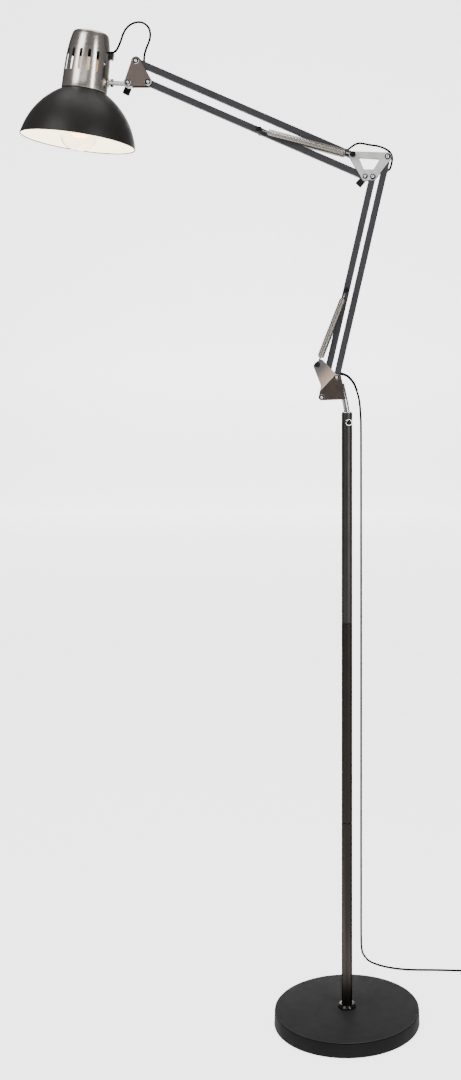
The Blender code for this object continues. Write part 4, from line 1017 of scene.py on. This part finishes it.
def make_cap():
    """The cap with its slots and the holes for the lead, the rod and a screw."""
    cap = turned("cap_shell", cap_profile(), NICKEL, None, "satin_nickel", steps=160, sharp=40)
    count, pitch, middle = 12, 22.5, 183.5
    cuts = []
    for k in range(count):
        angle = math.radians(middle + (k - (count - 1) / 2) * pitch)
        slot = prism_bmesh(bar_outline((0, 0.0323), (0, 0.0643), 0.0025, 10), [], -0.046, -0.026)
        cuts.append((slot, Matrix.Rotation(angle + math.pi / 2, 4, "Z")))
    back = HEAD.inverted()
    holes = (
        (0.0024, 24, back @ along((-0.4500, 0, 1.6757), (1, 0, 0))),
        (0.0046, 32, back @ along(ROD_START, ROD_DIRECTION)),
        (0.0012, 16, along((0, 0, 0.0129), (-0.0266, -0.0283, 0))),
    )
    for radius, steps, place in holes:
        cuts.append((lathe_bmesh(rectangle(0, 0.02, radius, 0.06), steps), place))
    drilled(cap, merged(*cuts))
    cap.data.transform(HEAD)
    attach(cap, "head")
    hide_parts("cap")
    # A black sheet inside the cap, above the holder: painted shade, standing in for the dark inside of the
    # cap.
    shadow_sheet = [(0.0352, 0.0625), (0.0356, 0.0625), (0.0310, 0.0930), (0.0306, 0.0930)]
    turned("cap_shadow_sheet", shadow_sheet, BLACK, "head", "black_plastic", frame_of=HEAD, steps=64)


def make_lamp():
    porcelain_painted_glow = [
        (0.0150, -0.0140), (0.0188, -0.0140), (0.0190, -0.0136), (0.0190, 0.0008), (0.0235, 0.0008),
        (0.0235, 0.0040),
    ]
    moulding = [
        (0.0190, 0.0060), (0.0190, 0.0400), (0.0182, 0.0540), (0.0165, 0.0575), (0, 0.0580), (0, 0.0300),
        (0.0150, 0.0290),
    ]
    paint = [1] * len(porcelain_painted_glow) + [0] * len(moulding)
    turned("holder_body", porcelain_painted_glow + moulding, [PORCELAIN_PAINTED_GLOW, BLACK], "head", "black_plastic",
           ["lamp_holder"], HEAD, paint=paint)
    ring = [
        (0.0193, -0.0015), (0.0246, -0.0015), (0.0250, -0.0020), (0.0242, -0.0080), (0.0238, -0.0085),
        (0.0193, -0.0085),
    ]
    turned("holder_ring", ring, BLACK, "head", "black_plastic", ["shade_ring"], HEAD)
    thread = [(0.0020, 0.0265), (0.0060, 0.0260), (0.0122, 0.0205)]
    z = 0.0190
    while z > -0.0060:
        thread += [(0.0130, z), (0.0131, z - 0.0008), (0.0123, z - 0.0018)]
        z -= 0.0026
    thread += [
        (0.0130, -0.0080), (0.0136, -0.0145), (0.0126, -0.0145), (0.0118, -0.0080), (0.0116, 0.0192),
        (0.0020, 0.0240),
    ]
    turned("bulb_screw_base", thread, BRASS, "head", "brass", ["bulb_cap"], HEAD, steps=64, sharp=60)


def make_bulb():
    foot = -BULB_DROP - BULB_RADIUS
    outer = [(0, foot)]
    for k in range(1, 25):
        angle = math.radians(-90 + 148 * k / 24)
        outer.append((BULB_RADIUS * math.cos(angle), -BULB_DROP + BULB_RADIUS * math.sin(angle)))
    outer += [(0.0158, -0.0375), (0.0146, -0.0330), (0.0140, -0.0270), (0.0138, -0.0148)]
    inner = [(max(r - 0.0007, 0), z) for r, z in outer[::-1]]
    inner[-1] = (0, foot + 0.0007)
    turned("bulb_globe", outer + inner, GLASS, "head", "bulb_glass", ["bulb_glass"], HEAD, steps=72, sharp=60)
    stem = [
        (0, -0.0150), (0.0100, -0.0150), (0.0060, -0.0260), (0.0035, -0.0420), (0.0030, -0.0520),
        (0, -0.0535),
    ]
    turned("bulb_stem", stem, GLASS, "head", "bulb_glass", frame_of=HEAD, steps=32)


def make_filament():
    """A fine coil bent to most of a circle, on two support wires."""
    route = []
    for k in range(91):
        sweep, wind = math.radians(-150 + 300 * k / 90), 2.2 * k
        x, y = add2((0, 0), (math.cos(sweep), math.sin(sweep)), 0.0125 + 0.0008 * math.cos(wind))
        route.append((x, y, -0.0770 + 0.0008 * math.sin(wind)))
    finish_piece("bulb_filament", sweep_bmesh(route, 0.00070, 6), FILAMENT, "head", frame_of=HEAD)
    wires = []
    for end in (route[0], route[-1]):
        wire = [(0, 0, -0.0510), (end[0] * 0.4, end[1] * 0.4, -0.060), end]
        wires.append((sweep_bmesh(wire, 0.0003, 6), None))
    finish_piece("bulb_supports", merged(*wires), DULL_STEEL, "head", frame_of=HEAD)


def make_grommet():
    wall, height = 0.0372, 0.0665
    low, high = height - 0.0073, height + 0.0073
    block = prism_bmesh(rounded([
        (wall, low, 0.0012), (wall + 0.0062, low, 0.0016),
        (wall + 0.0062, high, 0.0016), (wall - 0.0004, high, 0.0012),
    ]), [], -0.0050, 0.0050)
    finish_piece("lead_grommet", block, GLOSS, "head", ["cord_grommet"], HEAD, bevel=0.0008)


def make_rod_nut():
    seat = HEAD @ Vector((0.0400, 0, 0.0205))
    distance = (seat - ROD_START).dot(ROD_DIRECTION)
    face = along(ROD_START + ROD_DIRECTION * distance, -ROD_DIRECTION)
    corners = [(x, z, 0.0002) for x, z in circle((0, 0), 0.0072, 6)]
    hexagon = prism_bmesh(rounded(corners, 2), [circle((0, 0), 0.0046, 32)], 0, 0.0042)
    hexagon.transform(Matrix.Rotation(math.pi / 2, 4, "X"))
    washer = lathe_bmesh([
        (0.0046, -0.0009), (0.0080, -0.0009), (0.0082, -0.0005), (0.0080, -0.0001), (0.0046, -0.0001),
    ], 40)
    lifted = [(hexagon, Matrix.Translation((0, 0, 0.0042))), (washer, Matrix.Translation((0, 0, 0.0009)))]
    whole = merged(*lifted)
    finish_piece("rod_nut", whole, CHROME, "head", ["rod_collar"], face, bevel=0.0003)


def make_switch():
    """The push button on the crown, and the small screw in the cap's wall."""
    top, seat = CAP_HEIGHT, CAP_HEIGHT - 0.0015
    button = [
        (0, seat - 0.0040), (0.0078, seat - 0.0040), (0.0078, seat - 0.0022), (0.0058, seat - 0.0022),
        (0.0058, top + 0.0026), (0.0052, top + 0.0035), (0.0040, top + 0.0039), (0, top + 0.0041),
    ]
    turned("switch_knob", button, GLOSS, "switch", "black_plastic", ["push_button"], HEAD, steps=40)
    screw = [(0, 0.0378), (0.0019, 0.0378), (0.0018, 0.0390), (0.0010, 0.0396), (0, 0.0397)]
    place = HEAD @ Matrix.Rotation(math.radians(-28), 4, "Z") @ along((0, 0, 0.0477), (1, 0, 0))
    turned("cap_screw", screw, CHROME, "head", "chrome", frame_of=place, steps=24)


# ---- leads ----------------------------------------------------------------------------------


def bent_lead(name, route, radii, nodes):
    """A held stretch of lead between two joined bodies, attached to neither."""
    piece = finish_piece(name, sweep_bmesh(route, radii, 14), SHEATH)
    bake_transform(piece)
    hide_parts(*nodes)


def nearest(route, x, z):
    """The number of the route's point nearest to a place in the arms' plane."""
    return min(range(len(route)), key=lambda k: (route[k] - Vector((x, 0, z))).length)


def along_bar(bar_ends, places):
    """Points in the arms' plane, each given by its distance along a bar and its offset from the axis."""
    return in_plane([beside(*bar_ends, distance, offset) for distance, offset in places])


def make_head_lead():
    loop = smooth_route(in_plane(HEAD_LEAD_ROUTE), 0.0020)
    first, second = nearest(loop, -0.3850, 1.7130), nearest(loop, -0.3412, 1.7070)
    for k, point in enumerate(loop):
        point.y = -0.0042 * math.sin(2 * math.pi * k / (len(loop) - 1))
    bent_lead("head_lead_rise", loop[:first + 1], CORD_RADIUS,
              ["head_lead"])
    bent_lead("head_lead_crown", loop[first:second + 1], CORD_RADIUS,
              ["head_lead"])
    bent_lead("head_lead_fall", loop[second:], CORD_RADIUS,
              ["head_lead"])


def make_arm_lead():
    upper, lower = (HEAD_HIGH, UPPER_PIVOT), (ELBOW_HIGH, LOWER_ARM_PIVOT)
    into_upper = along_bar(upper, (
        (0.0119, 0.0070), (0.0121, 0.0055), (0.0129, 0.0032), (0.0152, 0.0012), (0.0200, 0.0),
    ))
    over_elbow = along_bar(upper, ((0.3880, 0.0), (0.3922, 0.0018), (0.3956, 0.0049)))
    into_lower = along_bar(lower, ((0.0196, 0.0085), (0.0232, 0.0050), (0.0268, 0.0018), (0.0340, 0.0)))
    elbow = smooth_route([*over_elbow, *in_plane(ELBOW_ROUTE), *into_lower], 0.0020)
    middle = nearest(elbow, 0.0440, 1.5186)
    before = [*smooth_route(into_upper, 0.0015), *elbow[:middle + 1]]
    bent_lead("arm_lead_upper", before, CORD_RADIUS,
              ["arm_lead"])
    after = [*elbow[middle:], *along_bar(lower, ((0.3770, 0.0),))]
    bent_lead("arm_lead_lower", after, CORD_RADIUS,
              ["arm_lead"])


def make_strain_relief():
    """A sleeve that tapers towards the cord, ribbed over most of its length."""
    lower = (ELBOW_HIGH, LOWER_ARM_PIVOT)
    out = along_bar(lower, ((0.3776, 0.0), (0.3803, 0.0008), (0.3824, 0.0030), (0.3833, 0.0056)))
    relief = smooth_route([*out, *in_plane(EXIT_ROUTE)], 0.0012)
    radii = []
    for k in range(len(relief)):
        share = k / (len(relief) - 1)
        rib = 0.0002 if (k // 2) % 2 and 0.25 < share < 0.95 else 0.0
        radii.append(CORD_RADIUS * (1.38 - 0.26 * share) - rib)
    bent_lead("strain_relief", relief, radii,
              ["lead_strain_relief"])


# ---- surroundings ---------------------------------------------------------------------------


def make_floor():
    """Pale paper that runs back over the floor and up a wall, and glows where the camera looks."""
    back, bend = 9.0, 1.2
    angles = (math.pi / 2 * k / 12 for k in range(1, 13))
    profile = [(-6.0, -0.0004), (back, -0.0004)]
    profile += [(back + bend * math.sin(t), bend - bend * math.cos(t)) for t in angles]
    profile += [(back + bend, 8.0)]
    bm = bmesh.new()
    rows = [[bm.verts.new((x, y, z)) for x in (-6.0, 6.0)] for y, z in profile]
    for a, b in zip(rows, rows[1:]):
        bm.faces.new((a[0], a[1], b[1], b[0]))
    m = Nodes("studio_paper")
    m.colour(m.noise(3.0), (0.90, 0.90, 0.90), (0.94, 0.94, 0.94))
    parts = m.add("ShaderNodeSeparateXYZ")
    m.join(m.place(), parts.inputs["Vector"])
    depth = m.math("ADD", parts.outputs["Y"], 2.25)
    middle = m.math("MULTIPLY", depth, -0.0935)
    aside = m.math("ABSOLUTE", m.math("SUBTRACT", parts.outputs["X"], middle))
    pools = [
        m.fade(m.math("DIVIDE", aside, depth), 0.235, 0.195),
        m.fade(parts.outputs["Y"], -0.30, -0.20),
        m.fade(parts.outputs["Z"], 7.4, 6.4),
    ]
    pool = m.math("MULTIPLY", m.math("MULTIPLY", pools[0], pools[1]), pools[2])
    glow = m.math("ADD", m.math("MULTIPLY", pool, PAPER_GLOW - PAPER_EDGE_GLOW), PAPER_EDGE_GLOW)
    m.join(glow, m.shader.inputs["Emission Strength"])
    m.fixed(Roughness=0.9, Emission_Color=(1, 1, 1, 1))
    finish_piece("studio_floor", bm, m.material)


def soft_box(name, place, aim, size, power):
    data = bpy.data.lights.new(name, "AREA")
    data.shape, data.size, data.size_y, data.energy = "RECTANGLE", size[0], size[1], power
    lamp = bpy.data.objects.new(name, data)
    lamp.location = place
    lamp.rotation_euler = (Vector(aim) - Vector(place)).to_track_quat("-Z", "Y").to_euler()
    bpy.context.collection.objects.link(lamp)


def make_lights():
    world = bpy.data.worlds.new("studio")
    bpy.context.scene.world = world
    world.use_nodes = True
    world.node_tree.nodes["Background"].inputs["Color"].default_value = (0.50, 0.50, 0.51, 1)
    world.node_tree.nodes["Background"].inputs["Strength"].default_value = 0.35
    soft_box("key", (-1.9, -2.2, 2.6), (-0.1, 0, 1.0), (1.4, 2.2), 45)
    soft_box("strip_right", (1.5, -1.7, 1.6), (-0.2, 0, 1.3), (0.35, 2.4), 30)
    soft_box("top", (-0.2, 0.2, 3.4), (-0.2, 0, 0.8), (2.2, 1.6), 20)
    soft_box("front_high", (-0.25, -2.9, 2.05), (-0.1, 0, 1.4), (1.5, 0.9), 4)


make_camera()
make_mains_cord()
make_floor()
make_lights()
make_base()
make_pole()
make_pole_fittings()
make_swivel()
make_lower_arm()
make_elbow()
make_upper_arm()
make_head_bracket()
make_shade()
make_cap()
make_lamp()
make_bulb()
make_filament()
make_grommet()
make_rod_nut()
make_switch()
make_head_lead()
make_arm_lead()
make_strain_relief()
